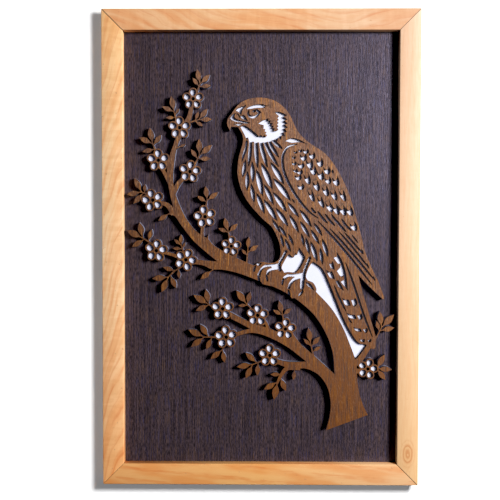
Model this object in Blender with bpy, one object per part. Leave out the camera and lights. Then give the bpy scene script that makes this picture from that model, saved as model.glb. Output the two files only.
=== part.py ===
"""Layered wood wall art: a falcon on a blossoming bough, in a mitred frame.

Four rebated rails hold a thin back panel. A white sheet is glued on the panel, and the
cut picture, one sheet of the same outline, is glued on the white. The picture hangs on a
wall: its back is at y = 0, it faces -Y, and the origin is the middle of the top rail's back.

The picture is drawn flat, in millimetres, with u to the right and v up from the frame's
centre. place() takes a point of it into the world, in metres.
"""
import math

import bmesh
import bpy
from mathutils import Matrix, Vector
from mathutils.geometry import delaunay_2d_cdt

MM = 0.001

# Driving dimensions, in millimetres.
FRAME_WIDTH = 300.0
FRAME_HEIGHT = 450.0
RAIL_FACE = 20.0
RAIL_DEPTH = 18.0
RAIL_ARRIS = 0.8
REBATE_WIDTH = 6.0
PANEL_RECESS = 8.0
BOARD_SHEET = 3.0
WHITE_SHEET = 3.8
BROWN_SHEET = 2.2
GAP = 0.3

# How finely the flat shapes are cut: the longest step along a curve, the cuts of a leaf, a
# feather, a petal and a blossom's lobe, how far the outlines may stray, in millimetres, and
# the smallest opening, in square millimetres.
CURVE_STEP = 7.0
LEAF_CUTS = 2
LENS_CUTS = 2
PETAL_SIDES = 5
LOBE_SIDES = 5
PICTURE_TOLERANCE = 0.45
BACKING_TOLERANCE = 1.2
SMALLEST_OPENING = 1.5

MID_HEIGHT = -(FRAME_HEIGHT - RAIL_FACE) / 2
PANEL_FRONT = RAIL_DEPTH - PANEL_RECESS


# ---------------------------------------------------------------- points and lines
def polar(centre, distance, heading):
    """The point at a distance and a heading in degrees from a centre."""
    turn = math.radians(heading)
    return (centre[0] + distance * math.cos(turn), centre[1] + distance * math.sin(turn))


def between(start, end, share):
    """The point that lies a share of the way from start to end."""
    return tuple(a + (b - a) * share for a, b in zip(start, end))


def curve(points, step):
    """A Catmull-Rom curve through the points, cut into pieces no longer than a step."""
    if len(points) < 3:
        return list(points)
    before = between(points[1], points[0], 2)
    after = between(points[-2], points[-1], 2)
    knots = [before] + list(points) + [after]
    path = []
    for p0, p1, p2, p3 in zip(knots, knots[1:], knots[2:], knots[3:]):
        cuts = max(1, math.ceil(math.dist(p1, p2) / step))
        for cut in range(cuts):
            t = cut / cuts
            path.append(tuple(
                b + t * (c - a) / 2 + t * t * (2 * a - 5 * b + 4 * c - d) / 2
                + t * t * t * (3 * (b - c) + d - a) / 2
                for a, b, c, d in zip(p0, p1, p2, p3)))
    return path + [points[-1]]


def outline(start, *sections):
    """A closed outline of smooth sections that meet at corners; it ends where it starts."""
    path = [start]
    for section in sections:
        path += curve([path[-1]] + section, CURVE_STEP)[1:]
    return path[:-1]


def running_lengths(path):
    """The distance along a path at each of its points."""
    lengths = [0.0]
    for a, b in zip(path, path[1:]):
        lengths.append(lengths[-1] + math.dist(a, b))
    return lengths


def point_along(path, share):
    """The point a share of the way along a path."""
    lengths = running_lengths(path)
    distance = share * lengths[-1]
    for index in range(1, len(path)):
        if distance <= lengths[index] or index == len(path) - 1:
            span = lengths[index] - lengths[index - 1]
            return between(path[index - 1], path[index], (distance - lengths[index - 1]) / span)


def saw(points, teeth, depth, lean=0.5):
    """A ragged edge along a line: teeth that point to its left, or to its right if negative."""
    path = curve(points, CURVE_STEP / 4)
    edge = []
    for tooth in range(teeth):
        root = Vector(point_along(path, tooth / teeth))
        following = Vector(point_along(path, (tooth + 1) / teeth))
        run = following - root
        side = Vector((-run.y, run.x)).normalized()
        edge.append(tuple(root + run * lean + side * depth))
        edge.append(tuple(following))
    return edge


def ribbon(points, widths, step):
    """The outline of a strip along a smooth line; its widths are spaced evenly along it."""
    path = [Vector(point) for point in curve(points, step)]
    left, right = [], []
    for index, point in enumerate(path):
        ahead = path[min(index + 1, len(path) - 1)] - path[max(index - 1, 0)]
        side = Vector((-ahead.y, ahead.x)).normalized()
        half = width_at(widths, index / (len(path) - 1)) / 2
        left.append(tuple(point + side * half))
        right.append(tuple(point - side * half))
    if widths[0] == 0:
        right.pop(0)
    if widths[-1] == 0:
        right.pop()
    return left + right[::-1]


def width_at(widths, share):
    """The width at a share of the way through evenly spaced widths."""
    place_in_list = share * (len(widths) - 1)
    index = min(int(place_in_list), len(widths) - 2)
    return widths[index] + (widths[index + 1] - widths[index]) * (place_in_list - index)


def slit(points, width):
    """A cut of even width that runs out to a point at both ends."""
    if len(points) == 2:
        return lens(*points, width)
    return ribbon(points, (0, width, width, width, 0), CURVE_STEP)


def lens(start, end, width):
    """A pointed oval from start to end."""
    left, right = [], []
    along = Vector(end) - Vector(start)
    side = Vector((-along.y, along.x)).normalized()
    for cut in range(1, LENS_CUTS):
        share = cut / LENS_CUTS
        half = side * math.sin(math.pi * share) ** 0.8 * width / 2
        middle = Vector(start) + along * share
        left.append(tuple(middle + half))
        right.append(tuple(middle - half))
    return [tuple(start)] + left + [tuple(end)] + right[::-1]


def oval(centre, length, width, heading, sides):
    """An ellipse with its length along a heading."""
    along = Vector(polar((0, 0), length / 2, heading))
    side = Vector(polar((0, 0), width / 2, heading + 90))
    turns = [math.tau * index / sides for index in range(sides)]
    return [tuple(Vector(centre) + along * math.cos(t) + side * math.sin(t)) for t in turns]


# ---------------------------------------------------------------- the tree
def boughs():
    """The trunk, its three boughs and the branch that climbs on the left."""
    trunk = outline(
        (102.5, -158.0),
        [(97.5, -147.5), (93.5, -134), (91.8, -120), (91.5, -108), (90, -104)],
        [(85.5, -92), (78, -74), (67, -56), (52, -40)],
        [(36, -30), (12, -22), (-8, -15), (-28, -6), (-44, 3), (-50, 10)],
        [(-56.5, 13), (-65, 21), (-73, 33), (-79, 47), (-82, 57), (-82.8, 70),
         (-80.5, 90), (-77.5, 100), (-74.5, 108)],
        [(-79, 107), (-82.5, 98), (-86, 88), (-88.5, 75), (-88, 64), (-85.5, 50),
         (-83, 39), (-86, 35)],
        [(-86.5, 32.5), (-81, 30.5), (-75, 22), (-64, 8), (-52, -3), (-41, -12)],
        [(-48, -11.5), (-60, -10.3)],
        [(-63, -14.5)],
        [(-54, -16), (-46, -19.5), (-35, -20), (-20, -23.5), (0, -31), (20, -39.5),
         (37, -50), (52, -64), (63, -82), (69, -100), (70.5, -119)],
        [(60, -109.5), (47, -98), (33, -87), (20, -80.5), (8, -75.5), (-10, -69.5), (-29, -60)],
        [(-28, -66.5)],
        [(-19, -71), (-10, -76)],
        [(-17, -77.5), (-26, -80.5)],
        [(-26, -85)],
        [(-17, -81.5), (-6, -80), (8, -84), (26, -93.5), (43.5, -107)],
        [(33, -107.5), (24, -107), (14, -104.5)],
        [(15, -109)],
        [(20, -111), (24, -112.5)],
        [(31, -114.5), (43, -113.8), (55, -119.5), (63.5, -131), (67, -146), (66, -160), (62.5, -173)],
        [(102.5, -158)])
    return [trunk]


TWIGS = (
    # Smooth lines through points, with the widths from end to end.
    ([(-80, 100), (-72, 116), (-67.5, 124), (-65, 135)], (4, 5, 3.5)),
    ([(-86, 62), (-90.5, 71), (-95, 78)], (4, 3)),
    ([(-87, 78), (-89, 86)], (4, 3)),
    ([(-83, 52), (-77.5, 62), (-70, 69)], (5, 3.5)),
    ([(-82, 33), (-88, 41), (-96, 44)], (6, 3)),
    ([(-55.5, 6), (-55.5, 15), (-54.5, 24)], (6, 3, 3)),
    ([(-51, 4), (-49.5, 13.5)], (3, 0.4)),
    ([(-93, -3.5), (-84, -5.5), (-76, -9)], (3, 3)),
    ([(-24, -8), (-25, -1)], (3.5, 2.5)),
    ([(-32, -6), (-31, -3)], (4, 3)),
    ([(8, -78), (5.5, -71), (1, -65)], (3.5, 2)),
    ([(-10, -73), (-7, -66)], (3, 2)),
    ([(36, -92), (31, -84), (28, -76)], (6, 2)),
    ([(21, -84), (20, -77)], (4, 3)),
    ([(38, -113), (26, -113.5), (20, -120), (15.5, -129)], (5, 4, 2)),
    ([(90, -109), (96, -103), (104, -91)], (6, 4.5)),
    ([(90, -116), (96, -116)], (5, 4)),
    ([(104, -91), (110.5, -83)], (3, 2)),
)


def twigs():
    """The thin stems between the boughs, the blossoms and the tail."""
    return [ribbon(points, widths, CURVE_STEP) for points, widths in TWIGS]


SPRIGS = (
    # The stem's root and end, and the tips of its leaves.
    ((-60.5, 147), (-56.8, 156), ((-60, 169), (-48, 164), (-64.5, 161), (-47, 153.5))),
    ((-79.5, 121), (-82, 130), ((-84.5, 144), (-93, 134), (-77, 132), (-89.5, 123.5))),
    ((-69, 118.5), (-57.5, 122), ((-50, 132), (-46, 122), (-58.5, 129.5), (-54.5, 115.5))),
    ((-98.5, 91), (-102.5, 100), ((-105, 114.5), (-115, 105), (-94, 107.5), (-112, 91.5))),
    ((-62.5, 79), (-57.5, 89), ((-58, 104), (-46, 98), (-66, 94), (-47, 85))),
    ((-106, 50.5), (-113.5, 54), ((-119.5, 67), (-127, 51), (-109.5, 61), (-120.5, 42.5))),
    ((-52, 39), (-50.5, 46.5), ((-52, 59.5), (-40, 53.5), (-60, 50))),
    ((-29.5, 10.5), (-30.5, 16), ((-34, 29.5), (-21.5, 24), (-40, 19.5))),
    ((-13, -13), (-12, 0), ((-11, 11.5), (-2, 3.5), (-18, -0.5))),
    ((-103.5, 5), (-112.5, 10.5), ((-115, 25), (-127, 17.5), (-122, 1.5), (-103, 18.5))),
    ((-72.6, -4.5), (-75.5, 4), ((-75.5, 13.5), (-82, 9), (-71, 6), (-83.5, 0.5))),
    ((-74, -16.5), (-82, -21.5), ((-92.5, -17.5), (-77, -28.5))),
    ((-82, -21.5), (-88, -27.5), ((-103, -28.5), (-94, -41.5), (-80, -37.5))),
    ((-42.5, -58), (-49.5, -52.5), ((-52, -38.5), (-63.5, -44), (-61.5, -59))),
    ((-7, -58.5), (-13.5, -52), ((-23, -39.5), (-9.5, -40.5), (-21, -54))),
    ((22, -68), (21, -62.5), ((17.5, -49), (29.5, -56), (12, -58))),
    ((-39, -84), (-55, -84), ((-57.5, -72), (-68.5, -77), (-66, -93.5), (-51.5, -96))),
    ((-33, -91), (-36.5, -96.5), ((-47.5, -105), (-34, -108.5))),
    ((4.2, -105.6), (-8.5, -110.5), ((-14, -99), (-22.5, -112.5), (-14, -123.5), (-3, -121))),
    ((24, -113.5), (15.5, -128), ((9.5, -119.5), (3.5, -134), (13, -144), (24.5, -135.5))),
    ((50.5, -102), (47.5, -89), ((45.5, -75), (56.5, -83), (41, -85.5), (57.5, -92.5))),
    ((108.5, -87), (115.5, -73), ((113, -59), (126.5, -62), (127, -74.5), (110, -68))),
    ((107, -114), (111, -113.5), ((118, -100), (125, -114.5), (119, -124.5))),
    ((-79.5, 95), (-77, 96), ((-71, 98.5),)),
    ((-83, 35.5), (-87, 33), ((-97, 26.5),)),
    ((-43.5, -18.5), (-46, -20.5), ((-57, -29),)),
    ((33, -112), (32.7, -114.5), ((31.5, -125),)),
)
LEAF_WIDTH_SHARE = 0.36
STEM_WIDTH = 1.7
STALK_WIDTH = 0.9
STALK_SHARE = 0.16
LEAF_DROP = 0.55


def leaf(root, tip, cuts):
    """A pointed leaf on a short stalk, widest before its middle."""
    start = Vector(root)
    along = Vector(tip) - start
    side = Vector((-along.y, along.x))
    left = [start + side.normalized() * STALK_WIDTH / 2]
    right = [start - side.normalized() * STALK_WIDTH / 2]
    for cut in range(1, cuts):
        share = cut / cuts
        half = side * LEAF_WIDTH_SHARE / 2 * math.sin(math.pi * share)
        middle = start + along * (STALK_SHARE + (1 - STALK_SHARE) * share ** 1.2)
        left.append(middle + half)
        right.append(middle - half)
    return [tuple(point) for point in left + [Vector(tip)] + right[::-1]]


def sprig(root, end, tips, cuts):
    """A stem with leaves: a leaf that reaches less far along the stem leaves it lower down."""
    shapes = [ribbon([root, end], (STEM_WIDTH, STALK_WIDTH), CURVE_STEP)]
    axis = Vector(end) - Vector(root)
    for tip in tips:
        reach = (Vector(tip) - Vector(root)).dot(axis) / axis.length_squared
        share = max(0.2, min(0.9, LEAF_DROP * reach))
        shapes.append(leaf(between(root, end, share), tip, cuts))
    return shapes


def sprigs(cuts):
    """Every sprig of leaves."""
    return [shape for row in SPRIGS for shape in sprig(*row, cuts)]


BLOSSOMS = (
    # Centre, heading of the first petal, and size.
    ((-64, 142.3), 90, 0.94),
    ((-76.8, 115.2), 91, 1.0),
    ((-97, 84.3), 92, 1.0),
    ((-67, 73.7), 82, 0.98),
    ((-102, 46.8), 104, 1.0),
    ((-53, 31), 101, 1.0),
    ((-28, 3), 84, 0.88),
    ((-98.5, -1), 83, 1.0),
    ((-70.5, -10), 68, 1.0),
    ((-36, -56.5), 89, 1.0),
    ((-2.5, -63), 87, 0.98),
    ((23.5, -76), 83, 0.96),
    ((-32, -83.5), 94, 1.02),
    ((8.8, -101), 90, 1.0),
    ((102, -114.5), 75, 0.92),
)
PETALS = 5
PETAL_REACH = 6.1
PETAL_LENGTH = 7.8
PETAL_WIDTH = 6.4
PETAL_RIM = 1.1
CORE_RADIUS = 3.6


def blossom_body(centre, heading, size, sides):
    """Five lobes around a core, each with a corner at its inner end."""
    shapes = [oval(centre, 2 * CORE_RADIUS * size, 2 * CORE_RADIUS * size, heading, 2 * PETALS)]
    for petal in range(PETALS):
        turn = heading + petal * 360 / PETALS
        middle = polar(centre, PETAL_REACH * size, turn)
        length = PETAL_LENGTH * size + 2 * PETAL_RIM
        width = PETAL_WIDTH * size + 2 * PETAL_RIM
        shapes.append(oval(middle, length, width, turn + 180, sides))
    return shapes


def blossom_openings(centre, heading, size, sides):
    """The five open petals, each with a corner at its inner end."""
    turns = [heading + petal * 360 / PETALS for petal in range(PETALS)]
    return [oval(polar(centre, PETAL_REACH * size, turn), PETAL_LENGTH * size,
                 PETAL_WIDTH * size, turn + 180, sides) for turn in turns]


# ---------------------------------------------------------------- the falcon
def falcon_body():
    """The bird's outline, from the beak over the back, the wing and the tail to the breast."""
    return outline(
        (-29.3, 111.5),
        [(-31.8, 117.5), (-31, 123), (-27.5, 127.5), (-24.5, 132), (-18.5, 138), (-9, 141.7),
         (2, 142.3), (12.5, 139.7), (21, 134), (27.5, 126), (32, 116), (37, 108),
         (46, 99.8), (60, 90.5), (70, 78.5), (78, 64), (84, 49.5), (88, 34), (92.5, 16.5),
         (97, -1), (103, -15.5), (111, -31), (117.3, -46)],
        [(116.3, -48)],
        [(105, -37.5), (92.5, -24.7)],
        [(97, -42), (104, -65), (109.5, -84), (109.5, -93)],
        [(107.5, -95), (104, -94)],
        [(100, -90.5)],
        [(94, -89.5), (87.5, -82), (78.5, -65), (68, -39), (60, -21), (55, -15.5)],
        [(49.5, -12)],
        [(45.5, -18), (43, -26), (45, -30)],
        [(50, -32.2), (53, -38), (52, -42)],
        [(30, -47)],
        [(22, -38)],
        [(2, -33.5)],
        [(-4, -24), (-6.5, -16)],
        [(0, -12.2), (9, -13.3), (14.5, -12.2), (18, -8.5), (19, -3)],
        [(17.3, 7), (11, 20), (2, 28.3), (-10, 41.5), (-18, 55), (-22, 71), (-20.8, 86),
         (-17, 100), (-17.3, 107), (-21.5, 114.8)],
        [(-28, 115)],
        [(-29.3, 111.5)])


def tail_window():
    """A patch over the gap between the tail and the bough, where the white sheet shows."""
    return outline(
        (94, -104),
        [(84, -100), (75, -78), (60, -52), (40, -36)],
        [(43, -9), (60, -12)],
        [(75, -48), (103, -92)],
        [(94, -104)])


def leg_window():
    """The gap between the legs, with the ragged feather edge above it."""
    return outline(
        (36.3, 1.6),
        [(41.5, -6)],
        [(42, -9), (37.5, -18), (33, -22.6)],
        [(26, -22), (22.8, -22.8)],
        [(20, -18.2), (21, -14.5)],
        [(25.5, -6.5)],
        [(27, -4.8)],
        [(29.3, -7)],
        [(31.5, -8)],
        [(33, -3.8)],
        [(34.8, -5.5)],
        [(36.3, 1.6)])


NECK_SLOTS = (
    # The top and the bottom of each slot that opens into the collar.
    ((-13.2, 101.5), (-18, 82)),
    ((-8.7, 103), (-11.4, 78.5)),
    ((-4.8, 103), (-2.8, 76)),
    ((-0.5, 103), (6.3, 76.5)),
    ((3.5, 103), (17, 76.5)),
    ((7, 103.5), (17, 85.5)),
    ((10, 103.5), (20, 94.5)),
)
BREAST_FEATHERS = (
    # The top and the bottom of each feather's slot, row by row down the breast.
    ((-14.3, 84.5), (-17.2, 67)), ((-8, 82.5), (-7.5, 62.5)), ((0.3, 81.3), (11.2, 56)),
    ((9, 82), (22.3, 60.5)), ((-12.5, 73.5), (-13, 54.5)), ((-4, 75), (1.8, 49.5)),
    ((11.8, 66.7), (28.5, 45.3)), ((-9, 61.7), (-6.2, 43.3)), ((3, 61.2), (12.3, 41.5)),
    ((-4, 53), (3.7, 33)), ((11.4, 53.8), (24.9, 34.5)), ((25, 44.5), (36.3, 29.7)),
    ((3, 46.7), (15.4, 26.5)), ((14.2, 38.8), (26.3, 21)), ((36.8, 37.3), (48.4, 20.5)),
    ((10.8, 28), (18.8, 15)), ((27, 32.6), (36.3, 15)), ((37, 26.5), (46.5, 10.5)),
    ((50, 25), (58.4, 12)), ((17.3, 22.5), (24.8, 10.5)), ((26, 14.5), (31.3, 3)),
    ((38.4, 15), (41.2, 2)), ((47.2, 18.5), (55.8, 4)), ((18.8, 14), (22, 1)),
    ((22.7, 10), (28.7, -3)), ((42.5, 11), (46.2, -5.5)), ((47.3, 7.3), (53.7, -12.3)),
    ((58, 10), (64, -8)), ((56.2, 1.3), (58.7, -15)),
)
NECK_WIDTH_SHARE = 0.135
BREAST_WIDTH_SHARE = 0.18


def feather_slots():
    """The slots of the neck and the breast, each as wide as a share of its length."""
    slots = [lens(top, bottom, math.dist(top, bottom) * NECK_WIDTH_SHARE)
             for top, bottom in NECK_SLOTS]
    slots += [lens(top, bottom, math.dist(top, bottom) * BREAST_WIDTH_SHARE)
              for top, bottom in BREAST_FEATHERS]
    return slots


def collar():
    """The white throat and neck patch, with ragged feather edges."""
    return outline(
        (-19.3, 114.8),
        [(-15.3, 116.4)],
        [(-11, 113.8), (-5.5, 109.5), (-1.3, 105.8)],
        saw([(-1.3, 105.8), (4.3, 105.2)], 2, 1.8),
        saw([(4.3, 105.2), (3, 110.5), (1, 115.2)], 2, -1.8, 0.7),
        [(2.9, 116.4)],
        [(-2.6, 118)],
        [(1.5, 120.8), (7, 122)],
        saw([(7, 122), (9.5, 117), (11.7, 111.2)], 3, 2.4),
        [(15, 111.2)],
        saw([(15, 111.2), (15, 126.3)], 3, -1.6),
        [(12.8, 128.6)],
        [(17, 129), (21, 127.8)],
        saw([(21, 127.8), (22.5, 119), (22, 111), (14.5, 104)], 6, 2.6, 0.8),
        [(10, 101.8), (0, 100.4), (-11, 101.5)],
        [(-12, 105.3)],
        [(-13.4, 102)],
        [(-15, 107), (-19.3, 114.8)])


def head_cuts():
    """The eye, the brow, the beak's lines and the patch in front of the eye."""
    return [
        slit([(-13.8, 132), (-7, 134.4), (0, 135.2), (6, 134.6)], 1.9),
        slit([(-11.2, 130.5), (-12, 126.8), (-7.8, 123.9), (-3.3, 125.4), (0, 128.6)], 1.5),
        slit([(-4.8, 131.4), (-1.8, 126.8)], 1.7),
        oval((-6.4, 129.6), 2.8, 2.4, 0, PETAL_SIDES),
        outline((-23.8, 130.5), [(-19.5, 133.2), (-13.8, 135.9)], [(-18, 131), (-19.2, 126.5)],
                [(-20.8, 128.6), (-23.8, 130.5)]),
        lens((-20.5, 125.8), (-12, 120.7), 2.6),
        outline((-29, 123.3), [(-26.5, 126.5), (-23.3, 127.9)], [(-25, 124.3), (-20, 121.2), (-10, 119)],
                [(-19, 119.6), (-25.5, 121.3), (-29, 123.3)]),
        lens((-22.5, 127), (-20.3, 123.5), 1.3),
        slit([(-25, 117.2), (-21, 117.1), (-16, 118.3)], 1.3),
    ]


WING_SPOTS = (
    # The rows of feather spots, each from the shoulder down.
    ((42.5, 92), (48.3, 88), (55.8, 81.3), (62.5, 74), (71, 63.8), (78.3, 49.8), (84.3, 35), (88, 20.5)),
    ((37.2, 92.8), (40.2, 86.2), (46.5, 79.7), (57, 69), (64.3, 64.3), (69.8, 50.2), (78, 35)),
    ((33, 91.3), (38, 78.7), (49.5, 74), (52.8, 59), (61, 54), (71.2, 36.2)),
    ((31.3, 86.2), (37, 72.5), (44.5, 65.5), (48.5, 49.3), (57.5, 43.5), (64.5, 39.3)),
    ((31.5, 80.6), (32.6, 73.8), (35.5, 67.4), (38, 58.5)),
)
SPOT_SIZES = (1.1, 2.8)
SPOT_FRONT = 31.0
SPOT_GROWTH = 0.11
SPOT_SHAPE = ((-0.9, -1.35), (-0.8, 0.7), (0.75, 0.7), (1.0, -1.35), (0, -0.15))
SPOT_LEANS = (12.0, 32.0)


def spot(centre):
    """A feather tip: a cup with two horns, larger and more slanted away from the shoulder."""
    small, large = SPOT_SIZES
    size = min(small + SPOT_GROWTH * (centre[0] - SPOT_FRONT), large)
    upright, slanted = SPOT_LEANS
    lean = upright + (slanted - upright) * min(1, (centre[0] - SPOT_FRONT) / SPOT_FRONT)
    down = Vector(polar((0, 0), size, lean - 90))
    across = Vector(polar((0, 0), size, lean))
    return [tuple(Vector(centre) + across * x + down * y) for x, y in SPOT_SHAPE]


LONG_SLITS = (
    # Smooth lines of the wing's edge, the flight feathers and the tail, with their width.
    ([(34.5, 98.8), (26, 96.3), (21, 88), (21.3, 76), (26.5, 62), (36, 47), (46, 35.5), (54.5, 29.3)], 2.2),
    ([(54, 26.5), (68, 11.5), (84, -7), (105.5, -33.8)], 1.5),
    ([(65.5, 19.3), (82, 1), (108, -29.5)], 1.3),
    ([(73.7, 16.6), (87, 1.5), (103, -18.5)], 1.3),
    ([(79, 15.7), (88, 5.5), (97, -5)], 1.3),
    ([(85.7, 14), (92.7, 5)], 1.6),
    ([(80.3, -12.8), (88, -33), (97, -60), (106.2, -83.5)], 1.4),
    ([(69.8, -34.5), (74.5, -46), (81, -59)], 1.2),
    ([(67.3, 74.8), (67.7, 71.8)], 2.4),
    ([(29.5, 47.5), (32.2, 43.3)], 1.5),
)
SHORT_FEATHERS = ((50, 36.5), (58.5, 30), (65.5, 27.5), (72, 24.5), (76, 22), (81, 22.8))
SHORT_FEATHER_LENGTHS = (7.0, 13.0)
SHORT_FEATHER_WIDTH = 1.7


def wing_cuts():
    """The spots, the long slits and the short feathers of the wing and the tail."""
    cuts = [spot(centre) for row in WING_SPOTS for centre in row]
    cuts += [slit(points, width) for points, width in LONG_SLITS]
    short, long = SHORT_FEATHER_LENGTHS
    for index, middle in enumerate(SHORT_FEATHERS):
        half = (short if index == 0 else long) / 2
        cuts.append(lens(polar(middle, half, 130), polar(middle, half, -50), SHORT_FEATHER_WIDTH))
    return cuts


TAIL_BARS = (
    # The left and the right mark of each bar across the tail, and their length.
    ((81.3, -50.5), (89.3, -51), 6.6),
    ((85.6, -63.5), (94.2, -65), 7.2),
    ((91.2, -76.6), (99.7, -77.3), 6.4),
    ((96.5, -87), (103.3, -87), 3.4),
)
BAR_HEADINGS = (-22, -62)
BAR_SIDES = 4


def tail_cuts():
    """The shoulder's crescent, the ragged patch under the tail, and the tail's marks and bars."""
    shoulder = outline((23, 101.7), [(29.5, 104.4), (36.5, 102.8), (43.3, 99)],
                       [(36, 100.6), (29, 100.2), (23, 101.7)])
    patch = outline(
        (72.3, -3),
        [(77.5, -12), (81, -24), (82.7, -39.5)],
        [(76, -31)],
        [(79.2, -29.5)],
        [(78.8, -25)],
        [(76.5, -26.5), (72.3, -21)],
        [(75.6, -17.5)],
        [(75.8, -13.6)],
        [(73.3, -13.8), (69.3, -8.4)],
        [(72.3, -7)],
        [(72.3, -3)])
    cuts = [shoulder, patch]
    cuts += [lens((65, -13.5), (70, -19.7), 2.6), lens((62, -19.8), (70.4, -28.8), 2.9)]
    cuts.append(lens((71, -30.2), (79, -39.5), 2.4))
    for left, right, length in TAIL_BARS:
        wide, narrow = BAR_HEADINGS
        cuts.append(oval(left, length, length * 0.42, wide, BAR_SIDES))
        cuts.append(oval(right, length * 0.75, length * 0.42, narrow, BAR_SIDES))
    return cuts


FOOT_SLITS = (
    # The lines of the legs, the toes and the claws, with their width.
    ([(23.8, -1.5), (20.3, -8.5), (17.5, -14), (18.8, -21.5)], 2.6),
    ([(18.6, -14.6), (5, -15.9), (-3, -24.5)], 2.4),
    ([(16, -18.2), (10, -19.6), (5.6, -24.6)], 2.2),
    ([(-3.7, -14.7), (1.2, -13.6)], 1.6),
    ([(-2.3, -25.5), (-1, -32)], 1.7),
    ([(5.5, -25), (6.8, -30.5)], 1.6),
    ([(-4.5, -15.8), (-6, -21.5)], 1.5),
    ([(46.5, -7.5), (43, -15.5), (40.6, -23), (41, -31), (39.3, -38.5)], 3.0),
    ([(41.5, -22.8), (30, -23.9), (21.6, -27)], 2.7),
    ([(41.5, -27.3), (31.5, -29.7), (26.3, -37.8)], 2.8),
    ([(22, -28), (20.8, -34)], 1.7),
    ([(26.6, -39), (28, -44)], 1.8),
    ([(40.2, -39.3), (36.3, -44.3)], 1.7),
    ([(42.8, -31.2), (50.7, -38)], 2.6),
)


def foot_slits():
    """The lines of both legs and feet."""
    return [slit(points, width) for points, width in FOOT_SLITS]


# ---------------------------------------------------------------- merging flat shapes
MERGE_DISTANCE = 1e-5


def inside(point, shape):
    """Whether a point lies inside a closed outline."""
    x, y = point
    crossed = False
    for (x1, y1), (x2, y2) in zip(shape, shape[1:] + shape[:1]):
        if (y1 > y) != (y2 > y) and x < x1 + (y - y1) * (x2 - x1) / (y2 - y1):
            crossed = not crossed
    return crossed


def merged(solids, openings, tolerance):
    """The boundary loops of all solids joined, less the openings, true within a tolerance."""
    points, edges = [], []
    for shape in solids + openings:
        first = len(points)
        points += [Vector(point) for point in shape]
        edges += [(first + i, first + (i + 1) % len(shape)) for i in range(len(shape))]
    corners, _, triangles = delaunay_2d_cdt(points, edges, [], 0, MERGE_DISTANCE)[:3]
    solid_boxes = [bounding_box(shape) for shape in solids]
    opening_boxes = [bounding_box(shape) for shape in openings]
    rim = set()
    for triangle in triangles:
        centre = sum((corners[i] for i in triangle), Vector((0, 0))) / 3
        if covered(centre, solids, solid_boxes) and not covered(centre, openings, opening_boxes):
            for a, b in zip(triangle, triangle[1:] + triangle[:1]):
                if (b, a) in rim:
                    rim.remove((b, a))
                else:
                    rim.add((a, b))
    loops = [simplified([corners[i] for i in loop], tolerance) for loop in loops_of(rim)]
    return [loop for loop in loops if area(loop) > SMALLEST_OPENING]


def area(loop):
    """The area inside a closed outline."""
    return abs(sum(a.cross(b) for a, b in zip(loop, loop[1:] + loop[:1]))) / 2


def bounding_box(shape):
    """The lowest and highest u and v of an outline."""
    return (min(p[0] for p in shape), max(p[0] for p in shape),
            min(p[1] for p in shape), max(p[1] for p in shape))


def covered(point, shapes, boxes):
    """Whether any of the shapes covers a point."""
    x, y = point
    return any(left <= x <= right and low <= y <= high and inside(point, shape)
               for shape, (left, right, low, high) in zip(shapes, boxes))


def loops_of(rim):
    """Chains directed edges into closed loops."""
    after = {}
    for a, b in sorted(rim):
        after.setdefault(a, []).append(b)
    loops = []
    while after:
        start = min(after)
        loop, here = [], start
        while here in after:
            loop.append(here)
            step = after[here].pop()
            if not after[here]:
                del after[here]
            here = step
        loops.append(loop)
    return loops


def simplified(loop, tolerance):
    """The loop without the points that lie within a tolerance of the edge past them."""
    start = max(range(len(loop)), key=lambda index: (loop[index] - loop[0]).length)
    ring = loop[start:] + loop[:start + 1]
    middle = max(range(len(ring)), key=lambda index: (ring[index] - ring[0]).length)
    return reduced(ring[:middle + 1], tolerance)[:-1] + reduced(ring[middle:], tolerance)[:-1]


def reduced(path, tolerance):
    """An open path's two ends, and the points between them that leave the edge by too much."""
    if len(path) < 3:
        return path
    aways = [away(point, path[0], path[-1]) for point in path[1:-1]]
    farthest = aways.index(max(aways)) + 1
    if aways[farthest - 1] <= tolerance:
        return [path[0], path[-1]]
    return reduced(path[:farthest + 1], tolerance)[:-1] + reduced(path[farthest:], tolerance)


def away(point, start, end):
    """The distance of a point from the edge between two others."""
    run = end - start
    share = max(0, min(1, (point - start).dot(run) / run.length_squared))
    return (point - start - run * share).length


def picture_solids(leaf_cuts, lobe_sides):
    """The shapes whose union is the picture's outline."""
    shapes = boughs() + twigs() + sprigs(leaf_cuts) + [falcon_body()]
    for row in BLOSSOMS:
        shapes += blossom_body(*row, lobe_sides)
    return shapes


def picture_openings():
    """The shapes cut through the picture."""
    shapes = [collar(), leg_window()] + feather_slots() + head_cuts()
    shapes += wing_cuts() + tail_cuts() + foot_slits()
    for row in BLOSSOMS:
        shapes += blossom_openings(*row, PETAL_SIDES)
    return shapes


# ---------------------------------------------------------------- solids
def place(u, depth, v):
    """A point of the drawing at a depth in front of the wall, in the world."""
    return Vector((u * MM, -depth * MM, (v + MID_HEIGHT) * MM))


def wood(name, colour, roughness):
    """A plain material with a colour, a roughness and no metal."""
    material = bpy.data.materials.new(name)
    material.use_nodes = True
    shader = material.node_tree.nodes["Principled BSDF"]
    shader.inputs["Base Color"].default_value = (*colour, 1)
    shader.inputs["Roughness"].default_value = roughness
    shader.inputs["Metallic"].default_value = 0
    return material


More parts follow.
